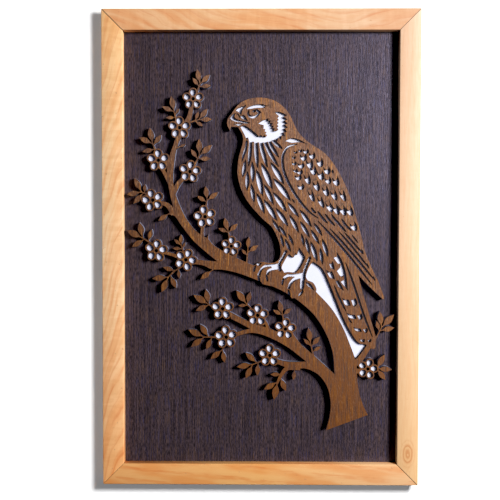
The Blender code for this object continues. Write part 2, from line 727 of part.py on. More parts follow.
def extruded(name, loops, thickness, material):
    """A closed mesh of flat loops, filled and extruded evenly to both sides of their plane."""
    flat = bpy.data.curves.new(name, "CURVE")
    flat.dimensions = "2D"
    flat.fill_mode = "BOTH"
    flat.extrude = thickness * MM / 2
    for loop in loops:
        spline = flat.splines.new("POLY")
        spline.points.add(len(loop) - 1)
        for point, (u, v) in zip(spline.points, loop):
            point.co = (u * MM, v * MM, 0, 1)
        spline.use_cyclic_u = True
    drawing = bpy.data.objects.new(name, flat)
    bpy.context.scene.collection.objects.link(drawing)
    view = bpy.context.evaluated_depsgraph_get()
    mesh = bpy.data.meshes.new_from_object(drawing.evaluated_get(view))
    bpy.data.objects.remove(drawing)
    body = bmesh.new()
    body.from_mesh(mesh)
    bmesh.ops.remove_doubles(body, verts=body.verts, dist=MERGE_DISTANCE)
    bmesh.ops.recalc_face_normals(body, faces=body.faces)
    body.to_mesh(mesh)
    body.free()
    mesh.name = name
    mesh.materials.clear()
    mesh.materials.append(material)
    return mesh


def sheet(name, loops, back, thickness, material, collection):
    """A flat sheet of the loops' outline, with its back at a depth in front of the wall."""
    board = bpy.data.objects.new(name, extruded(name, loops, thickness, material))
    board.location = place(0, back + thickness / 2, 0)
    board.rotation_euler = (math.radians(90), 0, 0)
    collection.objects.link(board)
    return board


# The bottom rail's place: its profile's inward side is up, and its depth is towards -Y.
INWARD_UP = Matrix(((0, 0, 1), (0, -1, 0), (1, 0, 0)))


def rail(name, length, turn, material, collection):
    """A rebated rail with mitred ends; its profile runs from the outer edge inwards."""
    lip_back = PANEL_FRONT + GAP
    profile = [
        (0, 0), (RAIL_FACE - REBATE_WIDTH, 0), (RAIL_FACE - REBATE_WIDTH, lip_back),
        (RAIL_FACE, lip_back), (RAIL_FACE, RAIL_DEPTH - RAIL_ARRIS),
        (RAIL_FACE - RAIL_ARRIS, RAIL_DEPTH), (RAIL_ARRIS, RAIL_DEPTH), (0, RAIL_DEPTH - RAIL_ARRIS)]
    mesh = extruded(name, [profile], length, material)
    mitre_gap = GAP / math.sqrt(2) * MM
    for vertex in mesh.vertices:
        end = math.copysign(length * MM / 2, vertex.co.z)
        vertex.co.z = end - math.copysign(vertex.co.x + mitre_gap, end)
    board = bpy.data.objects.new(name, mesh)
    to_edge = (FRAME_HEIGHT if length == FRAME_WIDTH else FRAME_WIDTH) / 2
    centre = Matrix.Translation(place(0, 0, 0))
    around = Matrix.Rotation(math.radians(turn), 4, "Y")
    outward = Matrix.Translation((0, 0, -to_edge * MM))
    board.matrix_world = centre @ around @ outward @ INWARD_UP.to_4x4()
    collection.objects.link(board)
    return board


def back_panel(material, collection):
    """The thin board in the rebate, with play all round."""
    play = RAIL_FACE - REBATE_WIDTH + GAP
    thickness = BOARD_SHEET - GAP
    size = (FRAME_WIDTH - 2 * play, thickness, FRAME_HEIGHT - 2 * play)
    bpy.ops.mesh.primitive_cube_add(size=1, location=place(0, PANEL_FRONT - thickness / 2, 0))
    board = bpy.context.object
    board.name = board.data.name = "back_panel"
    board.scale = [side * MM for side in size]
    bpy.ops.object.transform_apply(location=False, rotation=False, scale=True)
    board.data.materials.append(material)
    for user in list(board.users_collection):
        user.objects.unlink(board)
    collection.objects.link(board)
    return board


def main():
    """Builds the wall art in its own collection."""
    for item in list(bpy.data.objects):
        bpy.data.objects.remove(item, do_unlink=True)
    collection = bpy.data.collections.new("layered_wood_wall_art")
    bpy.context.scene.collection.children.link(collection)

    pale_wood = wood("pale_frame_wood", (0.80, 0.52, 0.28), 0.45)
    dark_veneer = wood("dark_panel_veneer", (0.06, 0.045, 0.055), 0.55)
    white_sheet = wood("white_underlay", (0.88, 0.88, 0.90), 0.5)
    brown_veneer = wood("brown_fretwork_veneer", (0.37, 0.17, 0.06), 0.5)

    rail("frame_bottom_rail", FRAME_WIDTH, 0, pale_wood, collection)
    rail("frame_left_rail", FRAME_HEIGHT, 90, pale_wood, collection)
    rail("frame_top_rail", FRAME_WIDTH, 180, pale_wood, collection)
    rail("frame_right_rail", FRAME_HEIGHT, -90, pale_wood, collection)
    back_panel(dark_veneer, collection)

    backing = merged(picture_solids(LEAF_CUTS, LOBE_SIDES) + [tail_window()], [], BACKING_TOLERANCE)
    underlay_back = PANEL_FRONT + GAP
    sheet("white_underlay", backing, underlay_back, WHITE_SHEET - GAP, white_sheet, collection)
    picture = merged(picture_solids(LEAF_CUTS, LOBE_SIDES), picture_openings(), PICTURE_TOLERANCE)
    fretwork_back = underlay_back + WHITE_SHEET
    sheet("falcon_fretwork", picture, fretwork_back, BROWN_SHEET - GAP, brown_veneer, collection)


main()
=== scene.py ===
import math

import bmesh
import bpy
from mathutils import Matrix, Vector, kdtree
from mathutils.geometry import delaunay_2d_cdt


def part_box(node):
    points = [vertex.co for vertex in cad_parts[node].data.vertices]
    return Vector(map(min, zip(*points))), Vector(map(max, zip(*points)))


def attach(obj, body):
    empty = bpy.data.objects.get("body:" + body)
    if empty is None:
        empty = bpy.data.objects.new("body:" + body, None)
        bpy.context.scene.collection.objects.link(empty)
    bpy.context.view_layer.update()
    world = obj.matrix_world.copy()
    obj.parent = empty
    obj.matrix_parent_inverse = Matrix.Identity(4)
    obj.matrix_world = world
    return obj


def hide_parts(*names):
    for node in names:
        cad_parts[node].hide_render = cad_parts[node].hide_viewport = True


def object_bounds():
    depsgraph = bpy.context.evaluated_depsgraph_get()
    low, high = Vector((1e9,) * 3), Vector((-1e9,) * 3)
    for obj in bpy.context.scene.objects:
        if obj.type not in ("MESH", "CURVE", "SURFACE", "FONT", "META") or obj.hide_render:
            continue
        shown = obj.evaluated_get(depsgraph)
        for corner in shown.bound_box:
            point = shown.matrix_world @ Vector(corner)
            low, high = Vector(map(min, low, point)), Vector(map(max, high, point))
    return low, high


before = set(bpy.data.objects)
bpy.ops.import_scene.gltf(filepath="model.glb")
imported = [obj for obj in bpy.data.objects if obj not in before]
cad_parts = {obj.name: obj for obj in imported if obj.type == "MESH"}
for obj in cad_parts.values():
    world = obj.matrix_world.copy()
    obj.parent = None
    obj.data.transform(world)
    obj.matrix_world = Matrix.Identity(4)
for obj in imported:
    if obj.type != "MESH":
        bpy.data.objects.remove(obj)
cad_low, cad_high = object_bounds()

# The picture is drawn flat, in millimetres, with u to the right and v up from the frame's
# centre, by the same named shapes as the solids, but smooth and with their small teeth.
# Depths and edges are read from the frame, in metres.
MM = 0.001
CENTRE = (cad_low + cad_high) / 2
PANEL_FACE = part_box("back_panel")[0].y
UNDERLAY_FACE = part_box("white_underlay")[0].y
FRETWORK_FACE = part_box("falcon_fretwork")[0].y

# How finely the flat shapes are cut: lengths in millimetres, the area of the smallest opening
# that is kept, and numbers of cuts and sides.
CURVE_STEP = 1.6
LEAF_CUTS = 9
LENS_CUTS = 10
LEG_STEP = 0.5
LOBE_SIDES = 24
RING_SIDES = 16
OUTLINE_TOLERANCE = 0.03
LONGEST_EDGE = 1.4
RIM_WIDTH = 0.45
SMALLEST_OPENING = 0.4
MERGE_DISTANCE = 1e-5


# ---------------------------------------------------------------- points and lines
def polar(centre, distance, heading):
    """The point at a distance and a heading in degrees from a centre."""
    turn = math.radians(heading)
    return (centre[0] + distance * math.cos(turn), centre[1] + distance * math.sin(turn))


def between(start, end, share):
    """The point that lies a share of the way from start to end."""
    return tuple(a + (b - a) * share for a, b in zip(start, end))


def curve(points, step=CURVE_STEP):
    """A Catmull-Rom curve through the points, cut into pieces no longer than a step."""
    if len(points) < 3:
        return list(points)
    before = between(points[1], points[0], 2)
    after = between(points[-2], points[-1], 2)
    knots = [before] + list(points) + [after]
    path = []
    for spans in zip(knots, knots[1:], knots[2:], knots[3:]):
        cuts = max(1, math.ceil(math.dist(spans[1], spans[2]) / step))
        for cut in range(cuts):
            t = cut / cuts
            path.append(tuple(
                b + t * (c - a) / 2 + t * t * (2 * a - 5 * b + 4 * c - d) / 2
                + t * t * t * (3 * (b - c) + d - a) / 2
                for a, b, c, d in zip(*spans)))
    return path + [points[-1]]


def outline(start, *sections):
    """A closed outline of smooth sections that meet at corners; it ends where it starts."""
    path = [start]
    for section in sections:
        path += curve([path[-1]] + section)[1:]
    return path[:-1]


def running_lengths(path):
    """The distance along a path at each of its points."""
    lengths = [0.0]
    for a, b in zip(path, path[1:]):
        lengths.append(lengths[-1] + math.dist(a, b))
    return lengths


def point_along(path, share):
    """The point a share of the way along a path."""
    lengths = running_lengths(path)
    distance = share * lengths[-1]
    for index in range(1, len(path)):
        if distance <= lengths[index] or index == len(path) - 1:
            span = lengths[index] - lengths[index - 1]
            return between(path[index - 1], path[index], (distance - lengths[index - 1]) / span)


def saw(points, teeth, depth, lean=0.5):
    """A ragged edge along a line: teeth that point to its left, or to its right if negative."""
    path = curve(points)
    edge = []
    for tooth in range(teeth):
        root = Vector(point_along(path, tooth / teeth))
        following = Vector(point_along(path, (tooth + 1) / teeth))
        run = following - root
        side = Vector((-run.y, run.x)).normalized()
        edge.append(tuple(root + run * lean + side * depth))
        edge.append(tuple(following))
    return edge


def width_at(widths, share):
    """The width at a share of the way through evenly spaced widths."""
    place_in_list = share * (len(widths) - 1)
    index = min(int(place_in_list), len(widths) - 2)
    return widths[index] + (widths[index + 1] - widths[index]) * (place_in_list - index)


def ribbon(points, widths):
    """The outline of a strip along a smooth line; its widths are spaced evenly along it."""
    path = [Vector(point) for point in curve(points)]
    left, right = [], []
    for index, point in enumerate(path):
        ahead = path[min(index + 1, len(path) - 1)] - path[max(index - 1, 0)]
        side = Vector((-ahead.y, ahead.x)).normalized()
        half = width_at(widths, index / (len(path) - 1)) / 2
        left.append(tuple(point + side * half))
        right.append(tuple(point - side * half))
    if widths[0] == 0:
        right.pop(0)
    if widths[-1] == 0:
        right.pop()
    return left + right[::-1]


SLIT_SHARES = (0.3, 0.9, 1, 1, 1, 0.9, 0.3)
LENS_FULLNESS = 0.8


def slit(points, width):
    """A cut of even width that narrows at both ends; a straight one is a pointed oval."""
    if len(points) == 2:
        return lens(*points, width)
    return ribbon(points, [width * share for share in SLIT_SHARES])


def lens(start, end, width, belly=0.5):
    """A pointed oval from start to end; belly is the share of its width on its left."""
    along = Vector(end) - Vector(start)
    side = Vector((-along.y, along.x)).normalized()
    left, right = [], []
    for cut in range(1, LENS_CUTS):
        share = cut / LENS_CUTS
        half = side * math.sin(math.pi * share) ** LENS_FULLNESS * width
        middle = Vector(start) + along * share
        left.append(tuple(middle + half * belly))
        right.append(tuple(middle - half * (1 - belly)))
    return [tuple(start)] + left + [tuple(end)] + right[::-1]


def oval(centre, length, width, heading, sides):
    """An ellipse with its length along a heading."""
    along = Vector(polar((0, 0), length / 2, heading))
    side = Vector(polar((0, 0), width / 2, heading + 90))
    turns = [math.tau * index / sides for index in range(sides)]
    return [tuple(Vector(centre) + along * math.cos(t) + side * math.sin(t)) for t in turns]


def placed(shape, centre, across, up):
    """A small drawing moved to a centre, with its own across and up directions."""
    return [tuple(Vector(centre) + across * x + up * y) for x, y in shape]


# ---------------------------------------------------------------- the tree
def bough():
    """The trunk, its three boughs and the branch that climbs on the left."""
    return outline(
        (102.5, -158.0),
        [(97.5, -147.5), (93.5, -134), (91.8, -120), (91.5, -108), (90, -104)],
        [(85.5, -92), (78, -74), (67, -56), (52, -40)],
        [(36, -30), (12, -22), (-8, -15), (-28, -6), (-44, 3), (-50, 10)],
        [(-56.5, 13), (-65, 21), (-73, 33), (-79, 47), (-82, 57), (-82.8, 70),
         (-80.5, 90), (-77.5, 100), (-74.5, 108)],
        [(-79, 107), (-82.5, 98), (-86, 88), (-88.5, 75), (-88, 64), (-85.5, 50),
         (-83, 39), (-86, 35)],
        [(-86.5, 32.5), (-81, 30.5), (-75, 22), (-64, 8), (-52, -3), (-41, -12)],
        [(-48, -11.5), (-60, -10.3)],
        [(-63, -14.5)],
        [(-54, -16), (-46, -19.5), (-35, -20), (-20, -23.5), (0, -31), (20, -39.5),
         (37, -50), (52, -64), (63, -82), (69, -100), (70.5, -119)],
        [(60, -109.5), (47, -98), (33, -87), (20, -80.5), (8, -75.5), (-10, -69.5), (-29, -60)],
        [(-28, -66.5)],
        [(-19, -71), (-10, -76)],
        [(-17, -77.5), (-26, -80.5)],
        [(-26, -85)],
        [(-17, -81.5), (-6, -80), (8, -84), (26, -93.5), (43.5, -107)],
        [(33, -107.5), (24, -107), (14, -104.5)],
        [(15, -109)],
        [(20, -111), (24, -112.5)],
        [(31, -114.5), (43, -113.8), (55, -119.5), (63.5, -131), (67, -146), (66, -160), (62.5, -173)],
        [(102.5, -158)])


TWIGS = (
    # Smooth lines through points, with the widths from end to end.
    ([(-80, 100), (-72, 116), (-67.5, 124), (-65, 135)], (4, 5, 3.5)),
    ([(-86, 62), (-90.5, 71), (-95, 78)], (4, 3)),
    ([(-87, 78), (-89, 86)], (4, 3)),
    ([(-83, 52), (-77.5, 62), (-70, 69)], (5, 3.5)),
    ([(-82, 33), (-88, 41), (-96, 44)], (6, 3)),
    ([(-55.5, 6), (-55.5, 15), (-54.5, 24)], (6, 3, 3)),
    ([(-51, 4), (-49.5, 13.5)], (3, 0.4)),
    ([(-93, -3.5), (-84, -5.5), (-76, -9)], (3, 3)),
    ([(-24, -8), (-25, -1)], (3.5, 2.5)),
    ([(-32, -6), (-31, -3)], (4, 3)),
    ([(8, -78), (5.5, -71), (1, -65)], (3.5, 2)),
    ([(-10, -73), (-7, -66)], (3, 2)),
    ([(36, -92), (31, -84), (28, -76)], (6, 2)),
    ([(21, -84), (20, -77)], (4, 3)),
    ([(38, -113), (26, -113.5), (20, -120), (15.5, -129)], (5, 4, 2)),
    ([(90, -109), (96, -103), (104, -91)], (6, 4.5)),
    ([(90, -116), (96, -116)], (5, 4)),
    ([(104, -91), (110.5, -83)], (3, 2)),
)

SPRIGS = (
    # The stem's root and end, and the tips of its leaves.
    ((-60.5, 147), (-56.8, 156), ((-60, 169), (-48, 164), (-64.5, 161), (-47, 153.5))),
    ((-79.5, 121), (-82, 130), ((-84.5, 144), (-93, 134), (-77, 132), (-89.5, 123.5))),
    ((-69, 118.5), (-57.5, 122), ((-50, 132), (-46, 122), (-58.5, 129.5), (-54.5, 115.5))),
    ((-98.5, 91), (-102.5, 100), ((-105, 114.5), (-115, 105), (-94, 107.5), (-112, 91.5))),
    ((-62.5, 79), (-57.5, 89), ((-58, 104), (-46, 98), (-66, 94), (-47, 85))),
    ((-106, 50.5), (-113.5, 54), ((-119.5, 67), (-127, 51), (-109.5, 61), (-120.5, 42.5))),
    ((-52, 39), (-50.5, 46.5), ((-52, 59.5), (-40, 53.5), (-60, 50))),
    ((-29.5, 10.5), (-30.5, 16), ((-34, 29.5), (-21.5, 24), (-40, 19.5))),
    ((-13, -13), (-12, 0), ((-11, 11.5), (-2, 3.5), (-18, -0.5))),
    ((-103.5, 5), (-112.5, 10.5), ((-115, 25), (-127, 17.5), (-122, 1.5), (-103, 18.5))),
    ((-72.6, -4.5), (-75.5, 4), ((-75.5, 13.5), (-82, 9), (-71, 6), (-83.5, 0.5))),
    ((-74, -16.5), (-82, -21.5), ((-92.5, -17.5), (-77, -28.5))),
    ((-82, -21.5), (-88, -27.5), ((-103, -28.5), (-94, -41.5), (-80, -37.5))),
    ((-42.5, -58), (-49.5, -52.5), ((-52, -38.5), (-63.5, -44), (-61.5, -59))),
    ((-7, -58.5), (-13.5, -52), ((-23, -39.5), (-9.5, -40.5), (-21, -54))),
    ((22, -68), (21, -62.5), ((17.5, -49), (29.5, -56), (12, -58))),
    ((-39, -84), (-55, -84), ((-57.5, -72), (-68.5, -77), (-66, -93.5), (-51.5, -96))),
    ((-33, -91), (-36.5, -96.5), ((-47.5, -105), (-34, -108.5))),
    ((4.2, -105.6), (-8.5, -110.5), ((-14, -99), (-22.5, -112.5), (-14, -123.5), (-3, -121))),
    ((24, -113.5), (15.5, -128), ((9.5, -119.5), (3.5, -134), (13, -144), (24.5, -135.5))),
    ((50.5, -102), (47.5, -89), ((45.5, -75), (56.5, -83), (41, -85.5), (57.5, -92.5))),
    ((108.5, -87), (115.5, -73), ((113, -59), (126.5, -62), (127, -74.5), (110, -68))),
    ((107, -114), (111, -113.5), ((118, -100), (125, -114.5), (119, -124.5))),
    ((-79.5, 95), (-77, 96), ((-71, 98.5),)),
    ((-83, 35.5), (-87, 33), ((-97, 26.5),)),
    ((-43.5, -18.5), (-46, -20.5), ((-57, -29),)),
    ((33, -112), (32.7, -114.5), ((31.5, -125),)),
)
LEAF_WIDTH_SHARE = 0.36
STEM_WIDTH = 1.7
STALK_WIDTH = 0.9
STALK_SHARE = 0.16
STALK_OVERLAP = 0.8
LEAF_SHARPNESS = 1.1
LEAF_DROP = 0.55
LOWEST_LEAF = 0.2
HIGHEST_LEAF = 0.9


def leaf(root, tip):
    """A pointed leaf on a short stalk, widest before its middle."""
    start = Vector(root)
    along = Vector(tip) - start
    side = Vector((-along.y, along.x))
    stalk = side.normalized() * STALK_WIDTH / 2
    stalk_end = start + along * STALK_SHARE * STALK_OVERLAP
    left = [start + stalk, stalk_end + stalk]
    right = [start - stalk, stalk_end - stalk]
    for cut in range(1, LEAF_CUTS):
        share = cut / LEAF_CUTS
        half = side * LEAF_WIDTH_SHARE / 2 * math.sin(math.pi * share) ** LEAF_SHARPNESS
        middle = start + along * (STALK_SHARE + (1 - STALK_SHARE) * share ** LEAF_SHARPNESS)
        if half.length > stalk.length or share > 0.5:
            left.append(middle + half)
            right.append(middle - half)
    return [tuple(point) for point in left + [Vector(tip)] + right[::-1]]


def sprig(root, end, tips):
    """A stem with leaves: a leaf that reaches less far along the stem leaves it lower down."""
    shapes = [ribbon([root, end], (STEM_WIDTH, STALK_WIDTH))]
    axis = Vector(end) - Vector(root)
    for tip in tips:
        reach = (Vector(tip) - Vector(root)).dot(axis) / axis.length_squared
        share = max(LOWEST_LEAF, min(HIGHEST_LEAF, LEAF_DROP * reach))
        shapes.append(leaf(between(root, end, share), tip))
    return shapes


BLOSSOMS = (
    # Centre, heading of the first petal, and size.
    ((-63.8, 141.3), 90, 0.93),
    ((-76.6, 114.2), 91, 0.99),
    ((-96.8, 83.6), 92, 1.0),
    ((-66.8, 73), 82, 0.98),
    ((-102.2, 45.9), 104, 1.0),
    ((-52.6, 30.4), 101, 1.0),
    ((-27.8, 2.5), 84, 0.88),
    ((-98.9, -1.9), 83, 1.0),
    ((-70.9, -10.5), 68, 1.0),
    ((-36, -57), 89, 1.0),
    ((-2.7, -63.2), 87, 0.98),
    ((23.7, -76.2), 83, 0.96),
    ((-32.6, -84.1), 94, 1.02),
    ((9, -101.4), 90, 1.0),
    ((102.2, -113.9), 75, 0.92),
)
PETALS = 5
PETAL_REACH = 6.1
PETAL_LENGTH = 7.8
PETAL_WIDTH = 6.4
PETAL_RIM = 1.1
CORE_RADIUS = 3.6
EYE_RADIUS = 1.7


def petal_drawing():
    """Half of a petal's opening outwards and half back, with a small notch at both ends."""
    return outline(
        (2.9, 0.7),
        [(4.3, 2.0), (6.5, 2.95), (8.6, 2.45), (9.7, 1.1)],
        [(9.45, 0)],
        [(9.7, -1.1), (8.6, -2.45), (6.5, -2.95), (4.3, -2.0), (2.9, -0.7)],
        [(3.3, 0)],
        [(2.9, 0.7)])


def petal_headings(heading):
    """The headings of a blossom's petals."""
    return [heading + petal * 360 / PETALS for petal in range(PETALS)]


def blossom_body(centre, heading, size):
    """Five lobes around a core."""
    shapes = [oval(centre, 2 * CORE_RADIUS * size, 2 * CORE_RADIUS * size, heading, RING_SIDES)]
    for turn in petal_headings(heading):
        middle = polar(centre, PETAL_REACH * size, turn)
        length = PETAL_LENGTH * size + 2 * PETAL_RIM
        width = PETAL_WIDTH * size + 2 * PETAL_RIM
        shapes.append(oval(middle, length, width, turn, LOBE_SIDES))
    return shapes


def blossom_openings(centre, heading, size):
    """The five open petals."""
    openings = []
    for turn in petal_headings(heading):
        outward = Vector(polar((0, 0), size, turn))
        sideways = Vector((-outward.y, outward.x))
        openings.append(placed(petal_drawing(), centre, outward, sideways))
    return openings


def blossom_eye(centre, heading, size):
    """The round hole in the middle of a blossom."""
    return oval(centre, 2 * EYE_RADIUS * size, 2 * EYE_RADIUS * size, heading, RING_SIDES)


# ---------------------------------------------------------------- the falcon
def falcon_body():
    """The bird's outline, from the beak over the back, the wing and the tail to the breast."""
    return outline(
        (-29.3, 111.5),
        [(-31.8, 117.5), (-31, 123), (-27.5, 127.5), (-24.5, 132), (-18.5, 138), (-9, 141.7),
         (2, 142.3), (12.5, 139.7), (21, 134), (27.5, 126), (32, 116), (37, 108),
         (46, 99.8), (60, 90.5), (70, 78.5), (78, 64), (84.2, 49.5), (88.9, 34), (94.1, 16.5),
         (98.5, -1), (104.2, -15.5), (111.6, -31), (117.3, -46)],
        [(116.3, -48)],
        [(105, -37.5), (92.5, -24.7)],
        [(97, -42), (104, -65), (109.5, -84), (109.5, -93)],
        [(107.5, -95), (104, -94)], [(100, -90.5)],
        [(94, -89.5), (87.5, -82), (78.5, -65), (68, -39), (60, -21), (55, -15.5)],
        [(49.5, -12)],
        [(45.5, -18), (43, -26), (45, -30)],
        [(50, -32.2), (53, -38), (52, -42)],
        [(30, -47)], [(22, -38)], [(2, -33.5)],
        [(-4, -24), (-6.5, -16)],
        [(0, -12.2), (9, -13.3), (14.5, -12.2), (18, -8.5), (19, -3)],
        [(17.3, 7), (11, 20), (2, 28.3), (-10, 41.5), (-18, 55), (-22, 71), (-20.8, 86),
         (-17, 100), (-17.3, 107), (-21.5, 114.8)],
        [(-28, 115)], [(-29.3, 111.5)])


def tail_window():
    """A patch over the gap between the tail and the bough, where the white sheet shows."""
    return outline(
        (94, -104),
        [(84, -100), (75, -78), (60, -52), (40, -36)],
        [(43, -9), (60, -12)],
        [(75, -48), (103, -92)],
        [(94, -104)])


def leg_window():
    """The gap between the legs, with the ragged feather edge above it."""
    return outline(
        (36.3, 1.6),
        [(38.3, -1.6), (41.3, -5.8)],
        [(42, -9), (37.5, -18), (33, -22.6)],
        [(26, -22), (22.8, -22.8)],
        [(20, -18.2), (21, -14.5)],
        [(25.5, -6.5)], [(27, -4.8)], [(29.3, -7)], [(31.5, -8)], [(33, -3.8)], [(34.8, -5.5)],
        [(35.6, -1.5), (36.3, 1.6)])


NECK_SLOTS = (
    # Smooth lines from the collar down, with the width of each slot.
    ([(-13.2, 102), (-13.9, 95), (-15.7, 90), (-17.8, 82.3)], 2.6),
    ([(-9.4, 103), (-9.8, 95), (-10.4, 88), (-11.4, 78.2)], 3.3),
    ([(-4.7, 103), (-4.4, 95), (-3.9, 88), (-3, 76.6)], 3.8),
    ([(-0.3, 103), (1, 95), (3, 88), (6.2, 77)], 4.0),
    ([(3, 103.5), (6.2, 95.5), (11, 86.5), (16.8, 77.6)], 3.7),
    ([(6.8, 104), (10.6, 95.8), (13.6, 91.5), (16.9, 86.4)], 3.5),
    ([(9.5, 104), (14.5, 99.3), (17.5, 96.8), (20.3, 94.3)], 3.2),
)
NECK_SLOT_SHARES = (0.8, 0.9, 1, 1, 0.8, 0.25)
BREAST_FEATHERS = (
    # The top and the bottom of each feather's slot, row by row down the breast.
    ((-14.3, 84.5), (-17.2, 67)), ((-8, 82.5), (-7.5, 62.5)), ((0.3, 81.3), (11.2, 56)),
    ((9, 82), (22.3, 60.5)), ((-12.5, 73.5), (-13, 54.5)), ((-4, 75), (1.8, 49.5)),
    ((11.8, 66.7), (28.5, 45.3)), ((-9, 61.7), (-6.2, 43.3)), ((3, 61.2), (12.3, 41.5)),
    ((-4, 53), (3.7, 33)), ((11.4, 53.8), (24.9, 34.5)), ((25, 44.5), (36.3, 29.7)),
    ((3, 46.7), (15.4, 26.5)), ((14.2, 38.8), (26.3, 21)), ((36.8, 37.3), (48.4, 20.5)),
    ((10.8, 28), (18.8, 15)), ((27, 32.6), (36.3, 15)), ((37, 26.5), (46.5, 10.5)),
    ((50, 25), (58.4, 12)), ((17.3, 22.5), (24.8, 10.5)), ((26, 14.5), (31.3, 3)),
    ((38.4, 15), (41.2, 2)), ((47.2, 18.5), (55.8, 4)), ((18.8, 14), (22, 1)),
    ((22.7, 10), (28.7, -3)), ((42.5, 11), (46.2, -5.5)), ((47.3, 7.3), (53.7, -12.3)),
    ((58, 10), (64, -8)), ((56.2, 1.3), (58.7, -15)),
)
BREAST_WIDTH_SHARE = 0.205
FEATHER_BELLY = 0.56


def feather_slots():
    """The blunt slots of the neck and the pointed ones of the breast."""
    slots = [ribbon(points, [width * share for share in NECK_SLOT_SHARES])
             for points, width in NECK_SLOTS]
    slots += [lens(top, bottom, math.dist(top, bottom) * BREAST_WIDTH_SHARE, FEATHER_BELLY)
              for top, bottom in BREAST_FEATHERS]
    return slots


def collar():
    """The white throat and neck patch, with ragged feather edges."""
    return outline(
        (-19.3, 114.8),
        [(-17, 116.1), (-15, 116.3)],
        [(-11, 113.8), (-5.5, 109.5), (-1.3, 105.8)],
        saw([(-1.3, 105.8), (4.5, 105.4)], 2, 1.8),
        saw([(4.5, 105.4), (3.6, 110.5), (1, 115.2)], 4, -1.7, 0.7),
        [(2.9, 116.4)], [(-2.6, 118)],
        [(1.5, 120.8), (5, 122)],
        saw([(5, 122), (8.6, 118.6), (11.7, 111.2)], 5, 2.2, 0.4),
        [(15, 111.2)],
        saw([(15, 111.2), (15.2, 119), (15.6, 126.3)], 5, -1.5),
        [(12.8, 128.6)],
        [(17, 129), (20.6, 127.9)],
        saw([(20.6, 127.9), (21.8, 123), (22.3, 117), (21.9, 111), (19, 106.2), (13.5, 103.4)],
            8, 3.0, 0.85),
        [(10, 101.8), (0, 100.4), (-11, 101.5)],
        [(-12, 105.3)], [(-13.4, 102)],
        [(-15, 107), (-19.3, 114.8)])


def brow():
    """The crescent over the eye, forked behind."""
    return outline(
        (-13.9, 131.6),
        [(-10.5, 134), (-4, 135.8), (2, 136.2)],
        [(3.4, 135.3)], [(6.6, 134.6)], [(3.5, 133.9)], [(3.9, 132.6)],
        [(0.5, 132.9), (-4, 132.8), (-9, 132.0), (-13.9, 131.6)])


def beak_cuts():
    """The light parts of the beak, the nostril and the patches before the eye."""
    upper = outline(
        (-29, 123),
        [(-26.6, 126.5), (-23.3, 128)],
        [(-24.6, 126), (-24.9, 124.2), (-22.9, 122.3), (-20, 121.2), (-14.5, 120), (-9.8, 118.8)],
        [(-13, 118), (-19, 119.1), (-23.8, 119.8), (-27, 121.2), (-29, 123)])
    lower = outline(
        (-25.2, 117.3),
        [(-21, 118.1), (-15.8, 118.4)],
        [(-18.2, 117.3), (-19.2, 116.2), (-21.4, 115.8)],
        [(-22.9, 116.8)], [(-25.2, 117.3)])
    cere = outline(
        (-23.9, 130.5),
        [(-21.9, 132)], [(-21.3, 132.9)], [(-19.4, 132.9)], [(-18.2, 134.3)],
        [(-16.4, 134.1), (-13.8, 136.1)],
        [(-14.7, 134), (-17, 131.3), (-18.1, 128.6), (-18.3, 126.3)],
        [(-19.6, 126.5)],
        [(-20.8, 128.6), (-23.9, 130.5)])
    lore = outline(
        (-20.1, 125.6),
        [(-18, 125.2)], [(-16.4, 126.2)],
        [(-14.8, 125), (-13.4, 122.6), (-11.9, 120.5)],
        [(-15.2, 121.2), (-17.8, 122.9), (-20.1, 125.6)])
    nostril = slit([(-22.9, 127.3), (-21, 126.2), (-20, 123.2)], 1.2)
    return [upper, lower, cere, lore, nostril]


def eye_cuts():
    """The open ring of the eye, its corner and the pupil."""
    ring = [(-11.3, 130.6), (-12, 127), (-10, 124.8), (-7.6, 124),
            (-4.6, 124.8), (-2.4, 126.6), (-0.4, 128.6)]
    corner = lens((-5.2, 131.8), (0.5, 128.4), 2.5, 0.25)
    pupil = oval((-6.3, 129.75), 3.0, 2.7, 0, RING_SIDES)
    return [slit(ring, 2.2), corner, pupil]


WING_SPOTS = (
    # Each feather spot's place and height, in rows from the shoulder down.
    ((42.5, 92), 4.6), ((48.3, 88), 6.4), ((55.8, 81.3), 8.2), ((62.5, 74), 7.4),
    ((71, 63.8), 9.2), ((77.6, 50.4), 11.6), ((84.2, 35.7), 9.6), ((88, 21.2), 9.2),
    ((37.2, 92.6), 3.0), ((40.2, 86.2), 6.4), ((46.2, 80), 9.0), ((56.6, 69.4), 9.2),
    ((63.6, 64.6), 6.6), ((69.3, 50.9), 10.8), ((77.7, 36.2), 10.2),
    ((32.8, 91.3), 2.8), ((38, 78.7), 5.6), ((49.5, 74), 8.8), ((52.6, 59.6), 10.4),
    ((61.4, 54.6), 10.4), ((71.3, 37.2), 10.8),
    ((31.2, 86.2), 2.8), ((36.8, 72.5), 4.6), ((44.2, 65.8), 10.2), ((48, 50.2), 12.4),
    ((57, 44.4), 12.2), ((65, 39.6), 11.0),
    ((31.5, 80.6), 3.6), ((32.6, 73.8), 3.4), ((35.5, 67.4), 5.2), ((38, 58.5), 5.6),
)
# A spot's margin and widths in millimetres, and its lean in degrees, which grows from the
# shoulder's height down.
SPOT_MARGIN = 0.5
SPOT_WIDTH_SHARE = 0.95
WIDEST_SPOT = 5.4
SLIM_FROM = 9.5
SLIMMING = 0.4
SPOT_LEAN = 8
LEAN_PER_STEP = 0.3
SHOULDER_HEIGHT = 90
MOST_LEAN = 22
SPOT_DRAWING = (
    # Across and up from the spot's middle, in shares of its width and height.
    (-0.52, 0.52),
    [(-0.57, 0.26), (-0.54, 0.0), (-0.34, -0.30), (0.06, -0.52)],
    [(0.42, -0.38), (0.58, -0.15), (0.58, 0.12), (0.42, 0.5)],
    [(0.26, 0.22), (-0.04, 0.06)],
    [(-0.26, 0.18), (-0.52, 0.52)],
)


